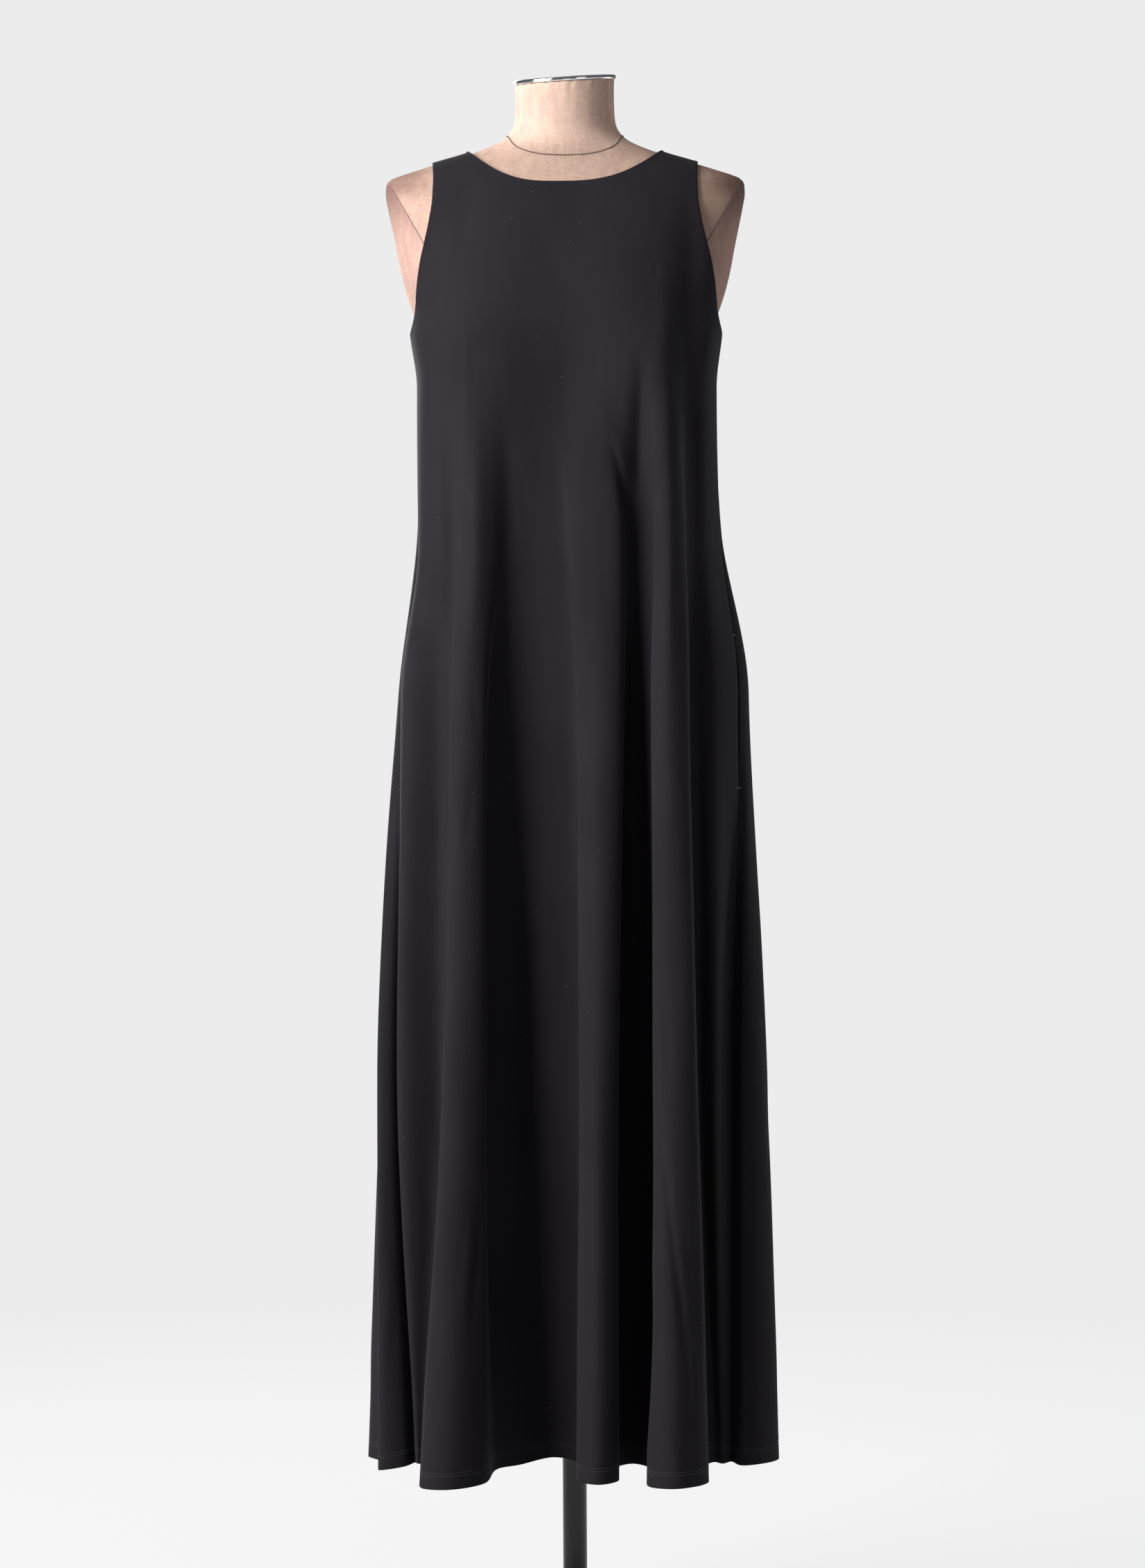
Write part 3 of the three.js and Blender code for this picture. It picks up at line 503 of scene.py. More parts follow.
def joinRows(name, rows, material):
    points, faces = [], []
    for rowPoints, rowFaces in rows:
        shift = len(points)
        points.extend(rowPoints)
        faces.extend(tuple(v + shift for v in face) for face in rowFaces)
    piece = newPiece(name, np.array(points) * mm, faces, material)
    mesh = bmesh.new()
    mesh.from_mesh(piece.data)
    bmesh.ops.recalc_face_normals(mesh, faces=mesh.faces)
    mesh.to_mesh(piece.data)
    mesh.free()
    settle(piece)
    return piece


def outwardAt(path):
    # the way out of the form at points on it, level enough for seams
    out = path - np.array([body["shift"], 0, 0])
    out[:, 2] = 0
    out = unit(out)
    out[:, 2] = 0.35
    return unit(out)


def torsoDepth(x, z, face):
    half, power, side = (columnAt(torso, name, z) for name in ("half", "power", "side"))
    share = np.clip(np.abs(x) / half, 0, 1)
    depth = columnAt(torso, "front", z) - bustRise(x, z) if face == "front" else columnAt(torso, "back", z)
    return mix(side, depth, (1 - share ** power) ** (1 / power))


def seamWithStitches(path, size, lean, lift, closed=False):
    # a rolled seam line with slanted stitches over it
    out = outwardAt(path)
    tube = tubeAlong(path, out, formSeams["radius"] * size, closed=closed)
    if closed:
        path, out = np.concatenate([path, path[:1]]), np.concatenate([out, out[:1]])
    stitches = stitchRow(path, out, formSeams["stitchPitch"], formSeams["stitchLength"] * size,
                         formSeams["stitchRadius"], lean, lift)
    return [tube, stitches]


def makeFormSeams():
    angles = np.linspace(0, 2 * math.pi, formSeams["neckPoints"], endpoint=False)
    across = np.abs(np.cos(angles))
    beyond = across - formSeams["neckFlat"]
    beyond = (beyond + np.hypot(beyond, formSeams["neckSoft"])) / 2 / (1 - formSeams["neckFlat"])
    rise = np.clip(beyond, 0, 1) ** formSeams["neckCurve"]
    z = np.where(np.sin(angles) < 0, mix(formSeams["neckFront"], formSeams["neckSide"], rise),
                 mix(formSeams["neckBack"], formSeams["neckSide"], across ** 2))
    rows = seamWithStitches(torsoPoint(angles, z), *formSeams["neckSewing"], closed=True)
    zs = np.linspace(formSeams["plateTopZ"], formSeams["plateBottomZ"], formSeams["platePoints"])
    for side in (-1, 1):
        x = side * (formSeams["plateTopX"] - (formSeams["plateTopZ"] - zs) * formSeams["plateSlope"])
        for face in ("front", "back"):
            path = np.stack([x + body["shift"], torsoDepth(x, zs, face), zs], -1)
            rows += seamWithStitches(path, *formSeams["plateSewing"])
    joinRows("formSeams", rows, brownThread)


makeFormSeams()
print("form seams made")

# The dress
cloth = {"thickness": 1.0, "lift": 2.0, "seamGap": 0.3, "shoulderGap": 0.5}
heights = {"hem": 199, "knee": 600, "hip": 1000, "waist": 1160, "bust": 1320, "underarm": 1373,
           "shoulder": 1550}
hem = {
    "from": 0.2, "turn": 15, "levels": 9, "thickness": 0.9, "inset": 1.05, "rows": (13.2, 16.1),
    "pitch": 3.1, "length": 2.5, "radius": 0.22, "stitchLift": 0.12, "dip": 0.18, "dipAt": 16, "dipWidth": 3,
}
sideWidths = {"z": [1320, 1350, 1373, 1386, 1401], "half": [155.4, 154.8, 162.4, 161.6, 162.3]}
armholes = {
    "z": [1373, 1378, 1386, 1396, 1423, 1445, 1466, 1488, 1512, 1537, 1560],
    "half": [162.4, 160.8, 158, 156, 153.6, 150.3, 145.6, 141, 137.6, 136.7, 139],
}
# how far the cloth hangs clear of the form on the middle line, and how much squarer its front is
bodiceEase = {"z": [1320, 1373, 1450, 1530], "front": [5, 4, 4.4, 2], "back": [5, 3.6, 5.2, 2],
              "square": [1.0, 0.75, 0.4, 0]}
necklines = {
    "front": {"low": 1527.5, "middle": -10, "right": -103.5, "left": 98.5, "round": 2.8},
    "back": {"low": 1546, "middle": -3, "right": -103.5, "left": 98.5, "round": 2.4},
}


# The skirt's loop, from the wearer's right side seam across the front to the left one and round the back
def clothLine(name, bust, lift, waist, hip, knee, hem):
    # a line down the cloth: its x on the chest, how much it lifts the hem, then x and y at each level
    return {"name": name, "bust": bust, "lift": lift, "waist": waist, "hip": hip, "knee": knee, "hem": hem}


def clothFold(name, bust, spread, lean, waist, hip, knee, hem):
    # a fold: its x and half the cloth's width on the chest, and how far the crest leans sideways. Each level
    # then has x, half width and y of the crest, the reach of its first foot as a share of the half width, how
    # far its two shoulders stand out, and the reach of its second foot
    row = clothLine(name, bust, 0, waist, hip, knee, hem)
    return {**row, "spread": spread, "lean": lean}


frontLines = [
    clothLine("seamRight", -156.8, 4, (-158, -4), (-177, -15), (-177, -36), (-166, -46)),
    clothLine("pocketRidge", -149, 6, (-154, -50), (-167, -73), (-177, -90), (-162, -64)),
    clothLine("rightValley", -138, 5, (-132, -78), (-134, -80), (-134, -86), (-158, -63)),
    clothFold("rightPipe", -96, 33, -0.15,
              (-94, 15, -133, 1.7, 0.7, 0.74, 2.1), (-103, 16, -143, 1.3, 0.86, 0.86, 1.3),
              (-109.5, 20.5, -166, 0.85, 0.94, 0.84, 0.85), (-122.5, 30.5, -195, 0.9, 0.94, 0.76, 1.44)),
    clothLine("middleValley", -52, 6, (-50, -111), (-59, -99), (-63, -72), (-57, -76)),
    clothLine("middleFront", -30, 12, (-22, -110), (-22, -103), (-26, -84), (-22, -66)),
    clothFold("middlePipe", 14, 28, 0,
              (28, 25, -124, 1.3, 0.6, 0.84, 1.3), (30.5, 21.5, -135, 1.2, 0.66, 0.86, 1.2),
              (26.5, 18.5, -158, 0.92, 0.86, 0.86, 0.92), (23.2, 19.8, -169, 0.85, 0.86, 0.84, 0.85)),
    clothLine("leftMiddleValley", 73, 4, (69, -100), (65, -92), (63.5, -69), (60, -60)),
    clothFold("leftPipe", 104, 21, -0.15,
              (104, 15, -134, 1.2, 0.8, 0.74, 1.2), (101, 17.5, -147, 1.05, 0.83, 0.84, 1.05),
              (104, 20, -173, 0.9, 0.92, 0.91, 0.9), (105, 29, -197, 0.85, 0.92, 0.8, 0.85)),
    clothLine("leftValley", 132, 3, (129, -68), (130, -70), (132, -66), (146, -46)),
    clothLine("leftRidge", 142, 2, (142, -52), (147, -68), (146, -78), (153, -50)),
]
backLines = [
    clothLine("seamLeft", 151.8, 2, (158.5, -4), (176, -18), (166, -35), (163, -38)),
    clothLine("leftFlapEdge", 146, 0, (159.8, 6), (183, -6), (176, -50), (172, -50)),
    clothLine("leftFlap", 139, 0, (159.6, 18), (187, 12), (191, -42), (190, -44)),
    clothLine("leftMost", 130, 0, (156, 34), (183, 36), (203, -14), (213, -6)),
    clothLine("backLeftValley", 120, 4, (143, 64), (163, 68), (180, 54), (192, 52)),
    clothFold("backLeftPipe", 92, 22, 0,
              (106, 20, 107, 1.3, 0.66, 0.66, 1.3), (117, 22, 121, 1.25, 0.66, 0.66, 1.25),
              (134, 24, 150, 1, 0.75, 0.7, 1), (146, 31, 180, 0.88, 0.7, 0.66, 0.88)),
    clothLine("backInnerLeft", 62, 5, (70, 100), (76, 108), (86, 88), (93, 82)),
    clothFold("backMiddlePipe", 26, 26, 0.1,
              (28, 24, 117, 1.3, 0.66, 0.66, 1.3), (30, 25, 135, 1.25, 0.66, 0.7, 1.25),
              (34, 27, 165, 1, 0.66, 0.8, 1), (38, 33, 193, 0.88, 0.66, 0.74, 0.88)),
    clothLine("backMiddleValley", -12, 6, (-15, 105), (-16, 118), (-19, 92), (-22, 86)),
    clothFold("backInnerPipe", -48, 24, -0.1,
              (-56, 22, 114, 1.3, 0.66, 0.66, 1.3), (-60, 23, 131, 1.25, 0.7, 0.66, 1.25),
              (-70, 25, 160, 1, 0.82, 0.7, 1), (-80, 31, 189, 0.88, 0.74, 0.66, 0.88)),
    clothLine("backRightValley", -82, 5, (-96, 92), (-102, 98), (-113, 80), (-122, 76)),
    clothFold("backRightPipe", -108, 18, 0,
              (-124, 16, 88, 1.3, 0.66, 0.66, 1.3), (-137, 17, 99, 1.25, 0.66, 0.66, 1.25),
              (-154, 20, 124, 1, 0.7, 0.7, 1), (-166, 25, 146, 0.9, 0.66, 0.66, 0.9)),
    clothLine("rightMost", -134, 0, (-156, 34), (-177, 36), (-200, 28), (-217, 30)),
    clothLine("rightTuck", -141, 0, (-159, 18), (-179.5, 16), (-198, -14), (-196, -22)),
    clothLine("rightFlap", -147, -1, (-159.6, 8), (-180, 2), (-201, -46), (-201.5, -62)),
    clothLine("rightFlapEdge", -152, 2, (-159.2, 2), (-179, -7), (-188.5, -46), (-176, -58)),
]
foldFoot = 0.22  # how far the feet of a fold stand out
levelNames = ("hem", "knee", "hip", "waist")


def dressHalf(z):
    z = np.asarray(z, float)
    snug = columnAt(torso, "half", z - cloth["lift"]) + cloth["lift"]
    return np.where(z < sideWidths["z"][-1], columnAt(sideWidths, "half", z), snug)


def bodiceDepth(face, placeX, z):
    x = placeX - body["shift"]
    low = z - cloth["lift"]
    power, side = columnAt(torso, "power", low), columnAt(torso, "side", low)
    share = np.clip(np.abs(x) / dressHalf(z), 0, 1)
    if face == "front":
        power = power + columnAt(bodiceEase, "square", z)
        reach = columnAt(torso, "front", low) - columnAt(bodiceEase, "front", z) - side - bustRise(x, z)
    else:
        reach = columnAt(torso, "back", low) + columnAt(bodiceEase, "back", z) - side
    return side + (1 - share ** power) ** (1 / power) * reach


def bodiceX(share, z):
    return body["shift"] + columnAt(armholes, "half", z) * (2 * share - 1)


def crestHeight(share):
    share = np.asarray(share, float)
    low, high = np.full(share.shape, 1500.0), np.full(share.shape, 1585.0)
    for _ in range(40):
        z = (low + high) / 2
        inside = np.abs(bodiceX(share, z) - body["shift"]) < dressHalf(z)
        low, high = np.where(inside, z, low), np.where(inside, high, z)
    return low


def topHeight(face, share):
    edge = necklines[face]
    share = np.asarray(share, float)
    x = bodiceX(share, heights["shoulder"])
    end = np.where(x < edge["middle"], edge["right"], edge["left"])
    along = (x - edge["middle"]) / (end - edge["middle"])
    width = 2 * columnAt(armholes, "half", heights["shoulder"])
    corner = crestHeight((end - body["shift"]) / width + 0.5)
    neck = mix(edge["low"], corner, np.clip(along, 0, 1) ** edge["round"])
    return np.where(along >= 1, crestHeight(share), neck)


def topShares(face, count):
    # where the columns end: evenly spaced along each shoulder seam and the neckline
    width = 2 * columnAt(armholes, "half", heights["shoulder"])
    edge = necklines[face]
    corners = [0, *((edge[end] - body["shift"]) / width + 0.5 for end in ("right", "left")), 1]
    runs = []
    for k in range(3):
        shares = np.linspace(corners[k], corners[k + 1], 240)
        z = topHeight(face, shares)
        x = bodiceX(shares, z)
        runs.append((shares, pathLengths(np.stack([x, bodiceDepth(face, x, z), z], -1))))
    whole = sum(lengths[-1] for _, lengths in runs)
    strap = round((count - 1) * (runs[0][1][-1] + runs[2][1][-1]) / 2 / whole)
    parts = [strap, count - 1 - 2 * strap, strap]
    result = [np.zeros(1)]
    for (shares, lengths), part in zip(runs, parts):
        result.append(np.interp(np.arange(1, part + 1) / part * lengths[-1], lengths, shares))
    return np.concatenate(result)


def openFolds(rows, after):
    # every fold becomes the lines across it
    lines = []
    for k, row in enumerate(rows):
        if "spread" not in row:
            levels = {level: (*row[level], row["lift"] if level == "hem" else 0) for level in levelNames}
            lines.append({"name": row["name"], "bust": row["bust"], **levels})
            continue
        valleys = (rows[k - 1], rows[k + 1] if k + 1 < len(rows) else after)
        way = math.copysign(1, valleys[1]["bust"] - valleys[0]["bust"])
        for n, across in enumerate((-1, -1, 0, 1, 1)):
            line = {"name": row["name"] + str(n), "bust": row["bust"] + way * row["spread"] * (n / 2 - 1)}
            valley = valleys[0] if across < 0 else valleys[1]
            for level in levelNames:
                x, half, crest, firstFoot, first, second, secondFoot = row[level]
                reach = half * (firstFoot, 1, 1, 1, secondFoot)[n]
                share = (foldFoot / max(1, firstFoot), first, 1, second, foldFoot / max(1, secondFoot))[n]
                side = row["lean"] * half if across == 0 else 0
                lift = valley["lift"] * (1 - share) if level == "hem" else 0
                line[level] = (x + way * reach * across + side, mix(valley[level][1], crest, share), lift)
            lines.append(line)
    return lines


frontSet = openFolds(frontLines, backLines[0])
backSet = openFolds(backLines, frontLines[0])
loopLines = frontSet + backSet
frontCount, lineCount = len(frontSet), len(loopLines)
lineIndex = {line["name"]: k for k, line in enumerate(loopLines)}
levelHeights = [heights[name] for name in (*levelNames, "bust", "underarm")]
for k, line in enumerate(loopLines):
    seam = {"seamRight": -1, "seamLeft": 1}.get(line["name"], 0)
    bustHalf = sideWidths["half"][0]
    share = (seam + 1) / 2 if seam else (line["bust"] + bustHalf) / (2 * bustHalf)
    line["xs"] = [line[level][0] for level in levelNames]
    line["ys"] = [line[level][1] for level in levelNames]
    for z in (heights["bust"], heights["underarm"]):
        x = body["shift"] + float(columnAt(sideWidths, "half", z)) * (2 * share - 1)
        y = columnAt(torso, "side", z) if seam else bodiceDepth("front" if k <= frontCount else "back", x, z)
        line["xs"].append(x)
        line["ys"].append(float(y))


def loopPoints(zs):
    # all the lines at all the heights
    points = np.empty((len(zs), lineCount, 3))
    for k, line in enumerate(loopLines):
        fade = np.clip(1 - (zs - heights["hem"]) / (heights["hip"] - heights["hem"]), 0, 1)
        points[:, k, 0] = smoothAt(levelHeights, line["xs"], zs)
        points[:, k, 1] = smoothAt(levelHeights, line["ys"], zs)
        points[:, k, 2] = zs + line["hem"][2] * fade
    return points


def skirtPoints(places, zs):
    # a smooth curve through the lines at each height, its knots spaced by the square root of the distance
    points = loopPoints(zs)
    wrapped = np.mod(places, lineCount)
    k = np.floor(wrapped).astype(int)
    t = (wrapped - k)[None, :, None]
    a, b, c, d = (points[:, (k + n) % lineCount] for n in (-1, 0, 1, 2))
    gaps = [np.sqrt(np.linalg.norm(q - p, axis=2, keepdims=True)) for p, q in ((a, b), (b, c), (c, d))]
    t1, t2, t3 = np.cumsum(np.maximum(1e-3, gaps), axis=0)
    at = mix(t1, t2, t)

    def blend(p, q, low, high):
        return p + (q - p) * (at - low) / (high - low)

    ab, bc, cd = blend(a, b, 0, t1), blend(b, c, t1, t2), blend(c, d, t2, t3)
    return blend(blend(ab, bc, 0, t2), blend(bc, cd, t1, t3), t1, t2)


def arcLengths(points):
    steps = np.linalg.norm(np.diff(points, axis=1), axis=2)
    return np.concatenate([np.zeros((len(points), 1)), np.cumsum(steps, axis=1)], axis=1)


pocket = {
    "top": 1061, "bottom": 901, "bagBottom": 803, "inset": 2.2, "thickness": 1.2, "gapeRight": 1.2,
    "gapeLeft": 3.4, "ease": 14, "behind": -0.35, "reach": 2.5, "columns": 58, "levels": 66,
}


def seamOpening(side, zs):
    t = np.clip((zs - pocket["bottom"]) / (pocket["top"] - pocket["bottom"]), 0, 1)
    return pocket["gape" + side] * np.sin(math.pi * t)


def openSeams(points, zs, face):
    # each row is drawn in a little from its side seams, and further at the pocket in the front panel
    gap = cloth["seamGap"] / 2
    arcs = arcLengths(points)
    moved = points.copy()
    sides = ("Right", "Left") if face == "front" else ("Left", "Right")
    for r, arc in enumerate(arcs):
        first, second = (gap + (float(seamOpening(side, zs[r])) if face == "front" else 0) for side in sides)
        at = arc + first * np.exp(-arc / pocket["ease"]) - second * np.exp(-(arc[-1] - arc) / pocket["ease"])
        moved[r] = resample(np.clip(at, 0, arc[-1]), arc, points[r])
    return moved


panels = {"perLine": {"front": 8, "back": 6}, "hemStep": 1.7, "rowStep": 7.4, "bodiceRows": 38,
          "bodiceSpread": 1.25, "profilePoints": 160}


def skirtHeights():
    low, high = heights["hem"], heights["hem"] + 2 * hem["turn"]
    near = np.arange(low, high, panels["hemStep"])
    count = int((heights["underarm"] - high) / panels["rowStep"])
    return np.concatenate([near, np.linspace(high, heights["underarm"], count)])


def bodicePoints(face, underarm, columns):
    along = (underarm[:, 0] - underarm[0, 0]) / (underarm[-1, 0] - underarm[0, 0])
    lowShares = along if face == "front" else 1 - along
    highShares = topShares(face, columns)
    if face == "back":
        highShares = highShares[::-1]
    t = np.linspace(0, 1, panels["profilePoints"])[None, :]
    top = topHeight(face, highShares)[:, None]
    z = top - (top - heights["underarm"]) * (1 - t) ** 2
    x = bodiceX(mix(lowShares[:, None], highShares[:, None], t), z)
    profile = np.stack([x, bodiceDepth(face, x, z), z], -1)
    lengths = arcLengths(profile)
    rises = 1 - (1 - np.arange(1, panels["bodiceRows"] + 1) / panels["bodiceRows"]) ** panels["bodiceSpread"]
    rows = np.empty((panels["bodiceRows"], columns, 3))
    for c in range(columns):
        at = rises * (lengths[c, -1] - cloth["shoulderGap"] / 2)
        rows[:, c] = resample(at, lengths[c], profile[c])
    return rows


# Creases in the cloth. Each row has a line of the loop, then how far from that line and at what
# height the crease starts, the same for its end, how far it bows sideways, its depth outwards and its width.
creases = [
    ("leftPipe1", 0.25, 560, 1.45, 240, 0.36, -3.1, 4.5),
    ("leftPipe1", 0.5, 530, 1.7, 235, 0.36, 1.3, 5),
    ("leftPipe0", 0.75, 390, 0.75, 265, 0, -6.0, 10),
    ("rightPipe0", 0.75, 930, 0.75, 700, 0, -5.0, 10),
    ("rightFlap", 0.6, 420, 0.2, 300, 0.1, 1.2, 6),
    ("rightValley", -0.45, 560, -0.3, 380, 0.1, -1.3, 6),
    ("leftValley", -0.3, 265, 0.0, 215, 0.1, 1.2, 5),
    ("leftPipe2", 0.25, 470, 0.75, 300, 0.1, -1.2, 5),
    ("rightPipe2", 0.75, 470, 0.6, 375, 0.05, -2.3, 6),
    ("rightPipe2", 0.45, 455, 0.35, 360, -0.05, 1.4, 5),
    ("rightPipe2", 0.35, 1010, 0.6, 955, 0, -0.8, 4),
    ("rightPipe2", 0.3, 905, 0.1, 840, 0.05, -0.9, 5),
    ("rightValley", 0.15, 640, 0.4, 556, 0.1, 1.6, 5),
    ("rightValley", -0.2, 600, 0.1, 520, -0.1, -1.5, 5),
    ("rightValley", -0.25, 915, -0.1, 830, 0.1, -0.8, 6),
    ("middleValley", 0.35, 395, 0.8, 232, 0, 1.8, 5),
    ("middleFront", 0.4, 760, 0.9, 560, 0.1, -1.0, 9),
    ("middlePipe2", -0.5, 940, -0.2, 800, 0.1, 0.8, 7),
    ("leftPipe1", 0.4, 262, 1.1, 212, 0.2, 1.4, 5),
    ("leftPipe2", 0.2, 275, 0.9, 208, 0.2, -1.2, 5),
    ("leftPipe2", -0.5, 700, -0.2, 590, 0.1, -1.0, 5),
    ("leftPipe2", -0.2, 1120, 0.1, 1010, 0.1, 0.7, 6),
    ("leftValley", 0.3, 980, 0.6, 800, 0.1, 1.0, 5),
    ("leftMost", -0.5, 640, -0.2, 500, 0.2, -1.4, 8),
    ("leftMost", 0.2, 460, 0.1, 300, 0.1, 1.3, 8),
    ("backLeftPipe2", -0.4, 760, 0.2, 560, 0.2, -1.6, 7),
    ("backLeftPipe2", 0.5, 430, 0.1, 260, -0.1, 1.6, 6),
    ("backMiddlePipe2", 0.6, 900, 0.1, 700, 0.1, -1.3, 7),
    ("backMiddlePipe2", -0.5, 520, 0.4, 240, 0.2, 2.0, 6),
    ("backInnerPipe2", 0.4, 660, -0.2, 450, 0.1, -1.5, 6),
    ("backInnerPipe2", -0.3, 360, 0.3, 225, 0.1, 1.4, 5),
    ("backRightPipe2", -0.3, 820, 0.3, 640, 0.1, 1.2, 6),
    ("backRightPipe2", 0.4, 480, -0.1, 290, 0.1, -1.5, 7),
    ("rightMost", -0.4, 720, 0.1, 560, 0.1, -1.2, 8),
    ("rightMost", 0.3, 420, 0.0, 260, 0.1, 1.2, 7),
    ("backMiddleValley", 0.2, 1240, -0.4, 1120, 0.2, 0.9, 9),
]
# The same on the chest, where the folds begin: x and height of each end, depth and width
chestCreases = [
    (-103, 1365, -105, 1195, 1.5, 4),
    (-112, 1440, -110, 1190, 2.0, 27),
    (74, 1330, 67, 1150, -9.0, 10),
    (36, 1290, 70, 1190, 3.4, 9.5),
    (98, 1420, 99, 1215, 2.6, 11),
    (127, 1480, 124, 1110, -4.6, 12),
    (146, 1470, 146, 1235, 2.0, 12),
    (-122, 1450, -126, 1290, 1.6, 16),
    (22, 1330, 20, 1190, 1.4, 20),
]
dimples = [{"x": 90, "z": 1430, "depth": -1.1, "size": 3.2}, {"x": 86, "z": 1433, "depth": 0.8, "size": 3.2}]
drape = {
    "seed": 7, "waves": 16, "depth": 0.588, "calmFrom": 1420, "calmTo": 1250, "calm": 0.25, "seamDip": 0.7,
    "seamWidth": 2.2, "edgeRoll": 0.5, "rollWidth": 3.5, "knot": 0.4, "knotWidth": 7,
}


def taper(t):
    # a crease fades in before its start and out after its end
    return np.sin(math.pi * (np.clip(t, -0.25, 1.25) + 0.25) / 1.5).clip(0, 1) ** 1.5


def creaseField(places, zs, spacing):
    field = np.zeros((len(zs), len(places)))
    for name, startPlace, startZ, endPlace, endZ, bow, depth, width in creases:
        t = (startZ - zs) / (startZ - endZ)
        inside = np.clip(t, 0, 1)
        centre = lineIndex[name] + mix(startPlace, endPlace, inside) + bow * np.sin(math.pi * inside)
        away = np.mod(places[None, :] - centre[:, None] + lineCount / 2, lineCount) - lineCount / 2
        field += depth * taper(t)[:, None] * bell(away * spacing, width)
    return field


def chestField(points):
    x, z = points[..., 0], points[..., 2]
    field = np.zeros(x.shape)
    for startX, startZ, endX, endZ, depth, width in chestCreases:
        t = (startZ - z) / (startZ - endZ)
        field += depth * taper(t) * bell(x - mix(startX, endX, np.clip(t, 0, 1)), width)
    for dimple in dimples:
        field += dimple["depth"] * bell(np.hypot(x - dimple["x"], z - dimple["z"]), dimple["size"])
    return field


def restField(points):
    # slow unevenness all over, drawn out along the cloth
    chance = np.random.default_rng(drape["seed"])
    field = np.zeros(points.shape[:2])
    x, y, z = points[..., 0], points[..., 1], points[..., 2]
    for _ in range(drape["waves"]):
        wide, deep, high = chance.uniform(0.02, 0.09), chance.uniform(0.02, 0.06), chance.uniform(0.004, 0.02)
        phase, size = chance.uniform(0, 2 * math.pi), chance.uniform(0.3, 1)
        field += size * np.sin(wide * x + deep * y + high * z + phase)
    return field * drape["depth"] / math.sqrt(drape["waves"])


def edgeField(face, points, arcs):
    # the cloth dips where it turns in at the side seams, and a little along the hem's stitches
    edge = np.minimum(arcs, arcs[:, -1:] - arcs)
    field = -drape["seamDip"] * bell(edge, drape["seamWidth"])
    fromHem = np.linalg.norm(points - points[:1], axis=2)
    field -= hem["dip"] * bell(fromHem - hem["dipAt"], hem["dipWidth"])
    # the turned neck and armhole edges are thicker, most of all at the ends of the shoulder seams
    fromTop = np.linalg.norm(points - points[-1:], axis=2)
    above = easeStep(points[..., 2], heights["underarm"], heights["underarm"] + 20)
    fromEdge = np.minimum(fromTop, np.where(above > 0, edge, np.inf))
    field += drape["edgeRoll"] * bell(fromEdge, drape["rollWidth"]) * above
    for end in (necklines[face]["right"], necklines[face]["left"], points[-1, 0, 0], points[-1, -1, 0]):
        field += drape["knot"] * bell(np.hypot(points[..., 0] - end, fromTop), drape["knotWidth"]) * above
    return field


def makePanel(face):
    perLine = panels["perLine"][face]
    low, high = (0, frontCount) if face == "front" else (frontCount, lineCount)
    places = np.linspace(low, high, (high - low) * perLine + 1)
    zs = skirtHeights()
    skirt = openSeams(skirtPoints(places, zs), zs, face)
    points = np.concatenate([skirt, bodicePoints(face, skirt[-1], len(places))])
    normals = gridNormals(points)
    # the normals at the side seams reach over to the next panel
    around = np.concatenate([[low - 1 / perLine], places, [high + 1 / perLine]])
    normals[:len(zs) - 1] = gridNormals(skirtPoints(around, zs))[:-1, 1:-1]
    arcs = arcLengths(points)
    spacing = np.gradient(arcs, axis=1) * perLine
    loose = easeStep(points[..., 2], drape["calmFrom"], drape["calmTo"])
    field = restField(points) * mix(drape["calm"], 1, loose) + edgeField(face, points, arcs)
    field[:len(zs)] += creaseField(places, zs, spacing[:len(zs)])
    if face == "front":
        field += chestField(points)
    points = points + normals * field[..., None]
    ups = np.linalg.norm(np.diff(points, axis=0), axis=2).cumsum(axis=0)
    ups = np.concatenate([np.zeros((1, len(places))), ups])
    middle = arcs - arcs[:, len(places) // 2][:, None]
    uvs = np.stack([middle * mm, ups * mm], -1).reshape(-1, 2)
    return {"points": points, "normals": gridNormals(points), "uvs": uvs, "ups": ups}


def makeCloth(name, points, uvs, thickness, node=None, material=blackJersey):
    faces = gridFaces(*points.shape[:2])
    piece = newPiece(name, points.reshape(-1, 3) * mm, faces, material, uvs)
    thicken(piece, thickness)
    if node:
        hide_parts(node)
    settle(piece)
    return piece


frontPanel, backPanel = makePanel("front"), makePanel("back")
sides = (("dressFront", frontPanel, "dress_front"), ("dressBack", backPanel, "dress_back"))
dressFront, dressBack = (makeCloth(name, panel["points"], panel["uvs"], cloth["thickness"], node)
                         for name, panel, node in sides)
print("front and back panels made")


def pathAbove(panel, height, lift):
    # the path across a panel at a distance along the cloth above its hem, lifted off the surface
    columns = range(panel["ups"].shape[1])
    path, out = (np.stack([resample([height], panel["ups"][:, c], panel[key][:, c])[0] for c in columns])
                 for key in ("points", "normals"))
    out = unit(out)
    return path + out * lift, out


def flatUvs(points, rises):
    arcs = arcLengths(points)
    return np.stack([arcs * mm, np.broadcast_to(rises[:, None] * mm, arcs.shape)], -1).reshape(-1, 2)


def makeHemTurn(name, panel):
    # the hem allowance, turned up inside the skirt
    ups = np.linspace(hem["from"], hem["turn"], hem["levels"])
    points = np.stack([pathAbove(panel, up, -hem["inset"])[0] for up in ups])
    return makeCloth(name, points, flatUvs(points, ups), hem["thickness"])


def makeHemStitches(name, panel):
    rows = []
    for height in hem["rows"]:
        path, out = pathAbove(panel, height, cloth["thickness"] / 2 + hem["stitchLift"])
        rows.append(stitchRow(path, out, hem["pitch"], hem["length"], hem["radius"]))
    return joinRows(name, rows, blackThread)


frontHem, backHem = makeHemTurn("hemFront", frontPanel), makeHemTurn("hemBack", backPanel)
frontStitches = makeHemStitches("hemStitchesFront", frontPanel)
backStitches = makeHemStitches("hemStitchesBack", backPanel)
print("hems made")


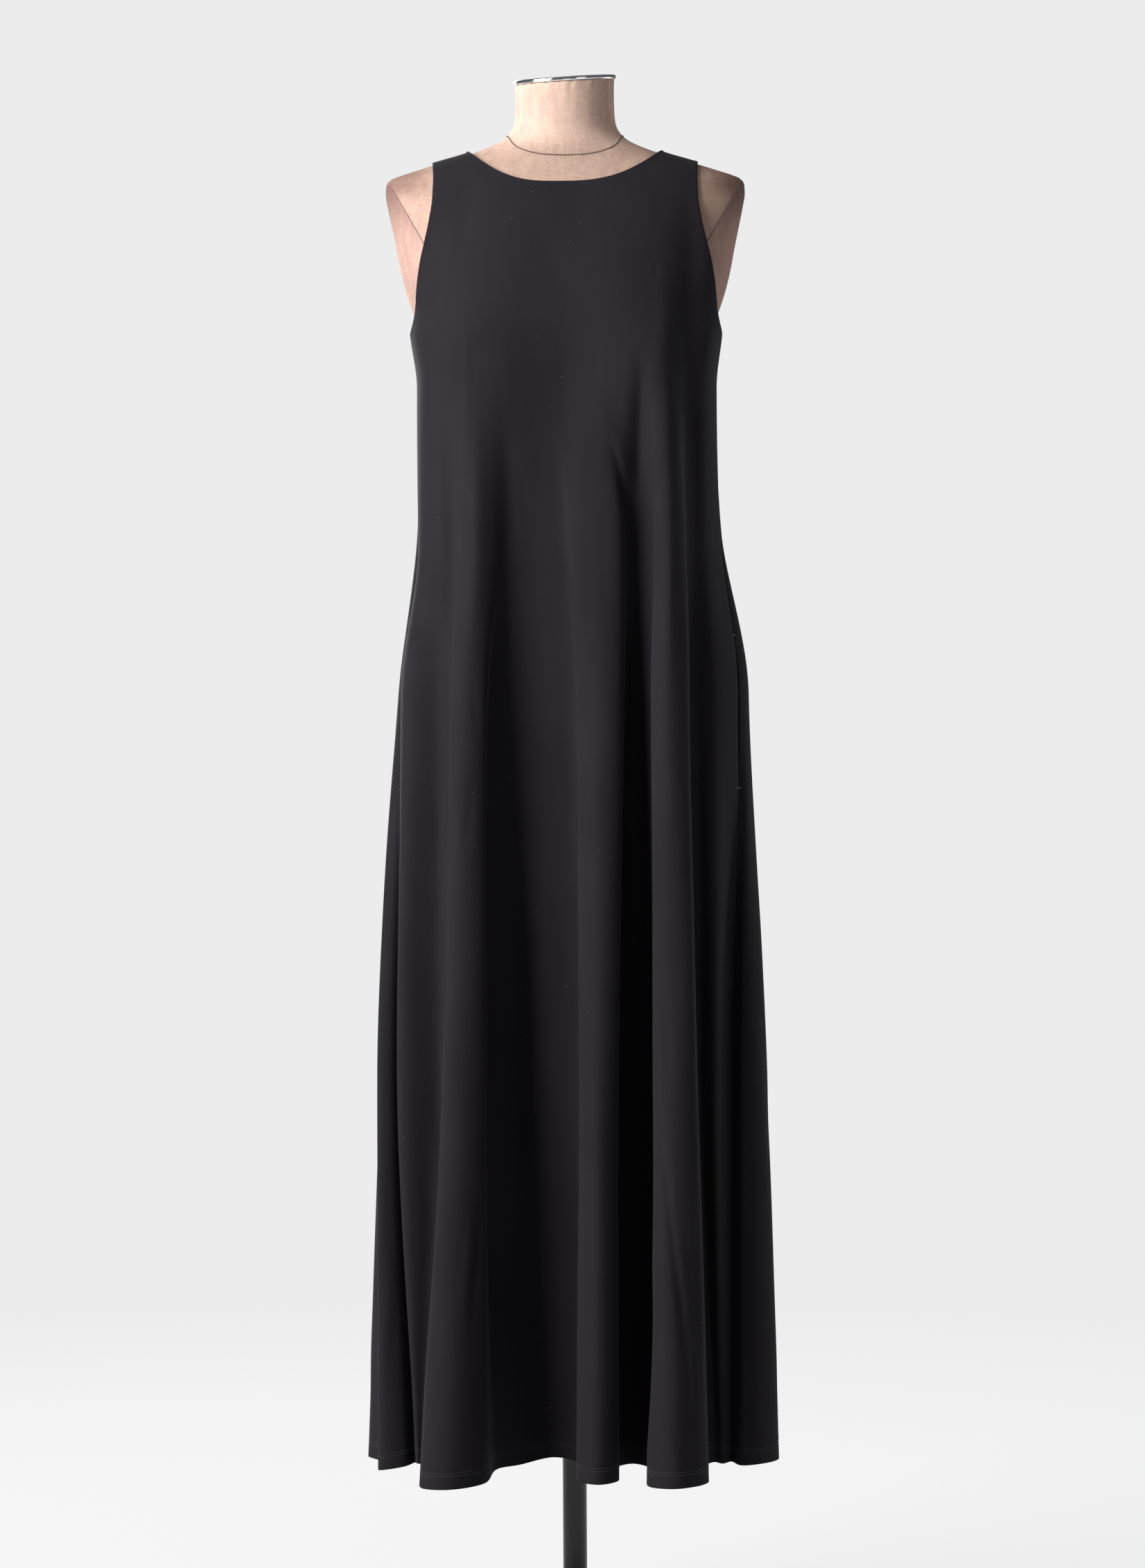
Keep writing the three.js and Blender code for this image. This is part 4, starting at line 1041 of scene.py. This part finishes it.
def seamPlaces(side, reach, count):
    # places on the loop of lines, from just behind a side seam to a reach inside the front panel
    inward, seam = (1, 0) if side == "Right" else (-1, frontCount)
    return inward, seam, (seam + inward * np.linspace(pocket["behind"], reach, count))[::inward]


def makePocket(side):
    # the bag hangs inside the front panel, behind the opening in the seam
    places = seamPlaces(side, pocket["reach"], pocket["columns"])[2]
    zs = np.linspace(pocket["bagBottom"], pocket["top"], pocket["levels"])
    points = skirtPoints(places, zs)
    points = points - gridNormals(points) * pocket["inset"]
    return makeCloth("pocketBag" + side, points, flatUvs(points, zs), pocket["thickness"],
                     "pocket_" + side.lower(), pocketJersey)


tack = {
    "width": 9, "height": 1.7, "pitch": 0.75, "radius": 0.24, "lift": 0.3, "lean": 1.35, "inward": 0.2,
    "reach": 0.5, "columns": 60, "points": 14,
}


def makeTacks(side):
    # a bar tack across the seam at each end of the pocket opening
    inward, seam, places = seamPlaces(side, tack["reach"], tack["columns"])
    rows = []
    for z in (pocket["top"], pocket["bottom"]):
        points = skirtPoints(places, np.array([z - 1.0, z, z + 1.0]))
        arc = pathLengths(points[1])
        middle = np.interp(seam, places, arc) + inward * tack["width"] * tack["inward"]
        at = middle + tack["width"] * np.linspace(-0.5, 0.5, tack["points"])
        out = unit(resample(at, arc, gridNormals(points)[1]))
        path = resample(at, arc, points[1]) + out * (cloth["thickness"] / 2 + tack["lift"])
        rows.append(stitchRow(path, out, tack["pitch"], tack["height"], tack["radius"], tack["lean"]))
        rows.append(tubeAlong(path, out, tack["radius"], sides=6))
    return joinRows("pocketTacks" + side, rows, greyThread)


pocketRight, pocketLeft = makePocket("Right"), makePocket("Left")
tacksRight, tacksLeft = makeTacks("Right"), makeTacks("Left")
print("pockets made")

# The stand and the cap on the neck
stand = {
    "poleRadius": 12.5, "baseRadius": 160, "baseThickness": 8, "hubRadius": 21, "hubHeight": 34,
    "flangeRadius": 48, "flangeThickness": 6, "formBottom": 850, "gap": 0.3, "sides": 128, "sharp": 50,
    "smooth": 35,
}
cap = {"radius": 53.4, "thickness": 4.4, "lift": 0.3, "edge": 1.4}


def startEdit(piece, kind):
    activate(piece)
    bpy.ops.object.mode_set(mode="EDIT")
    bpy.ops.mesh.select_mode(type=kind)
    bpy.ops.mesh.select_all(action="DESELECT")
    return bmesh.from_edit_mesh(piece.data)


def bevelRims(piece, width, segments):
    mesh = startEdit(piece, "EDGE")
    for edge in mesh.edges:
        edge.select = len(edge.link_faces) == 2 and edge.calc_face_angle(0) > math.radians(stand["sharp"])
    bmesh.update_edit_mesh(piece.data)
    bpy.ops.mesh.bevel(offset=width * mm, segments=segments, profile=0.5, affect="EDGES")
    bpy.ops.object.mode_set(mode="OBJECT")


def extrudeTop(piece, inset, rise):
    # inset the top face and draw it up
    mesh = startEdit(piece, "FACE")
    top = max(mesh.faces, key=lambda face: (round(face.calc_center_median().z, 6), face.calc_area()))
    top.select = True
    bmesh.update_edit_mesh(piece.data)
    bpy.ops.mesh.inset(thickness=inset * mm)
    if rise:
        bpy.ops.mesh.extrude_region_move(TRANSFORM_OT_translate={"value": (0, 0, rise * mm)})
    bpy.ops.object.mode_set(mode="OBJECT")


def makeRound(name, node, material, radius, low, high, insets, bevel, x=0.0, y=0.0):
    # a round piece; insets and bevel are those of its top face and of its rims
    bpy.ops.mesh.primitive_cylinder_add(vertices=stand["sides"], radius=radius * mm, depth=(high - low) * mm,
                                        location=(x * mm, y * mm, (low + high) / 2 * mm))
    piece = bpy.context.object
    piece.name = piece.data.name = name
    piece.data.materials.append(material)
    for inset, rise in insets:
        extrudeTop(piece, inset, rise)
    bevelRims(piece, *bevel)
    activate(piece)
    bpy.ops.object.shade_smooth_by_angle(angle=math.radians(stand["smooth"]))
    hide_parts(node)
    return piece


def makeStand():
    thick, gap = stand["baseThickness"], stand["gap"]
    flangeTop = stand["formBottom"] - gap
    flangeLow = flangeTop - stand["flangeThickness"]
    hub = (stand["baseRadius"] - stand["hubRadius"], stand["hubHeight"])
    rounds = [
        ("standBase", "stand_base", stand["baseRadius"], 0, thick, [hub], (1.6, 4)),
        ("standPole", "pole", stand["poleRadius"], thick + hub[1] + gap, flangeLow - gap, [(2, 0)], (0.4, 2)),
        ("formFlange", "form_flange", stand["flangeRadius"], flangeLow, flangeTop, [(4, 0)], (0.8, 3)),
    ]
    for name, node, *sizes in rounds:
        settle(makeRound(name, node, standBlack, *sizes))


def makeCap():
    low = neckTilt["top"] + cap["lift"]
    disc = makeRound("neckCap", "neck_cap", capChrome, cap["radius"], low, low + cap["thickness"],
                     [(3, 0), (40, 0)], (cap["edge"], 4), body["shift"], neckTilt["centreY"])
    activate(disc)
    bpy.ops.object.transform_apply(location=True, rotation=True, scale=True)
    for vertex in disc.data.vertices:
        vertex.co.z += tiltRise(vertex.co.x / mm - body["shift"], vertex.co.y / mm) * mm
    settle(disc)


makeStand()
makeCap()
print("stand and cap made")

# Studio
studio = {
    "floorRadius": 30.0, "near": 1.0, "far": 3.2, "paper": 0.12, "glow": 0.79, "backdrop": 0.838,
    "world": 0.12,
}


def paperMaterial():
    # pale paper that takes a soft shadow near the stand and fades into the backdrop further out
    material, tree, shader = newMaterial("studioPaper", {
        "Roughness": 0.95, "Specular IOR Level": 0.0, "Emission Color": (1, 1, 1, 1)})
    away = addNode(tree, "VectorMath", {0: objectPlace(tree)}, operation="LENGTH").outputs["Value"]
    limits = {"Value": away, "From Min": studio["near"], "From Max": studio["far"]}
    fade = addNode(tree, "MapRange", limits, interpolation_type="SMOOTHSTEP").outputs["Result"]
    albedo = addMath(tree, "MULTIPLY", addMath(tree, "SUBTRACT", 1.0, fade), studio["paper"])
    paper = addNode(tree, "CombineColor", {"Red": albedo, "Green": albedo, "Blue": albedo}).outputs["Color"]
    rise = addMath(tree, "MULTIPLY", fade, studio["backdrop"] - studio["glow"])
    setSockets(tree, shader, {
        "Base Color": paper, "Emission Strength": addMath(tree, "ADD", rise, studio["glow"])})
    return material


def makeStage():
    bpy.ops.mesh.primitive_circle_add(vertices=96, radius=studio["floorRadius"], fill_type="NGON")
    stage = bpy.context.object
    stage.name = "studioFloor"
    stage.data.materials.append(paperMaterial())
    stage.visible_diffuse = False


def makeSky():
    # lights the cloth faintly from all sides, and looks as pale as the paper behind it
    world = bpy.data.worlds.new("studioWorld")
    world.use_nodes = True
    tree = world.node_tree
    white = (1, 1, 1, 1)
    soft = tree.nodes["Background"]
    setSockets(tree, soft, {"Color": white, "Strength": studio["world"]})
    pale = addNode(tree, "Background", {"Color": white, "Strength": studio["backdrop"]})
    cameraRay = addNode(tree, "LightPath", {}).outputs["Is Camera Ray"]
    either = addNode(tree, "MixShader", {"Fac": cameraRay, 1: soft.outputs["Background"],
                                         2: pale.outputs["Background"]})
    setSockets(tree, tree.nodes["World Output"], {"Surface": either.outputs["Shader"]})
    bpy.context.scene.world = world


# each light's place, what it looks at, its width and height, and its power
lights = {
    "keyLight": ((-2.3, -1.8, 2.15), (0, 0, 1.15), (2.1, 2.2), 152),
    "fillLight": ((2.6, -3.4, 1.6), (0, 0, 1.0), (1.6, 2.4), 9),
    "frontLight": ((0.5, -4.6, 1.1), (0, 0, 0.8), (1.2, 1.6), 4),
    "topLight": ((-0.6, -0.4, 3.6), (0, 0, 1.2), (2.2, 1.6), 3),
    "sideLight": ((2.9, 1.7, 0.8), (0, 0, 0.7), (1.0, 1.8), 18),
    "backLight": ((-1.4, 3.7, 2.2), (0, 0, 1.0), (2.0, 2.4), 110),
}


def makeLights():
    for name, (place, target, size, power) in lights.items():
        data = bpy.data.lights.new(name, "AREA")
        data.shape = "RECTANGLE"
        data.size, data.size_y = size
        data.energy = power
        light = bpy.data.objects.new(name, data)
        light.location = place
        light.rotation_euler = (Vector(target) - Vector(place)).to_track_quat("-Z", "Y").to_euler()
        bpy.context.scene.collection.objects.link(light)
    bpy.context.scene.view_settings.view_transform = "Standard"


makeStage()
makeSky()
makeLights()
print("studio ready")
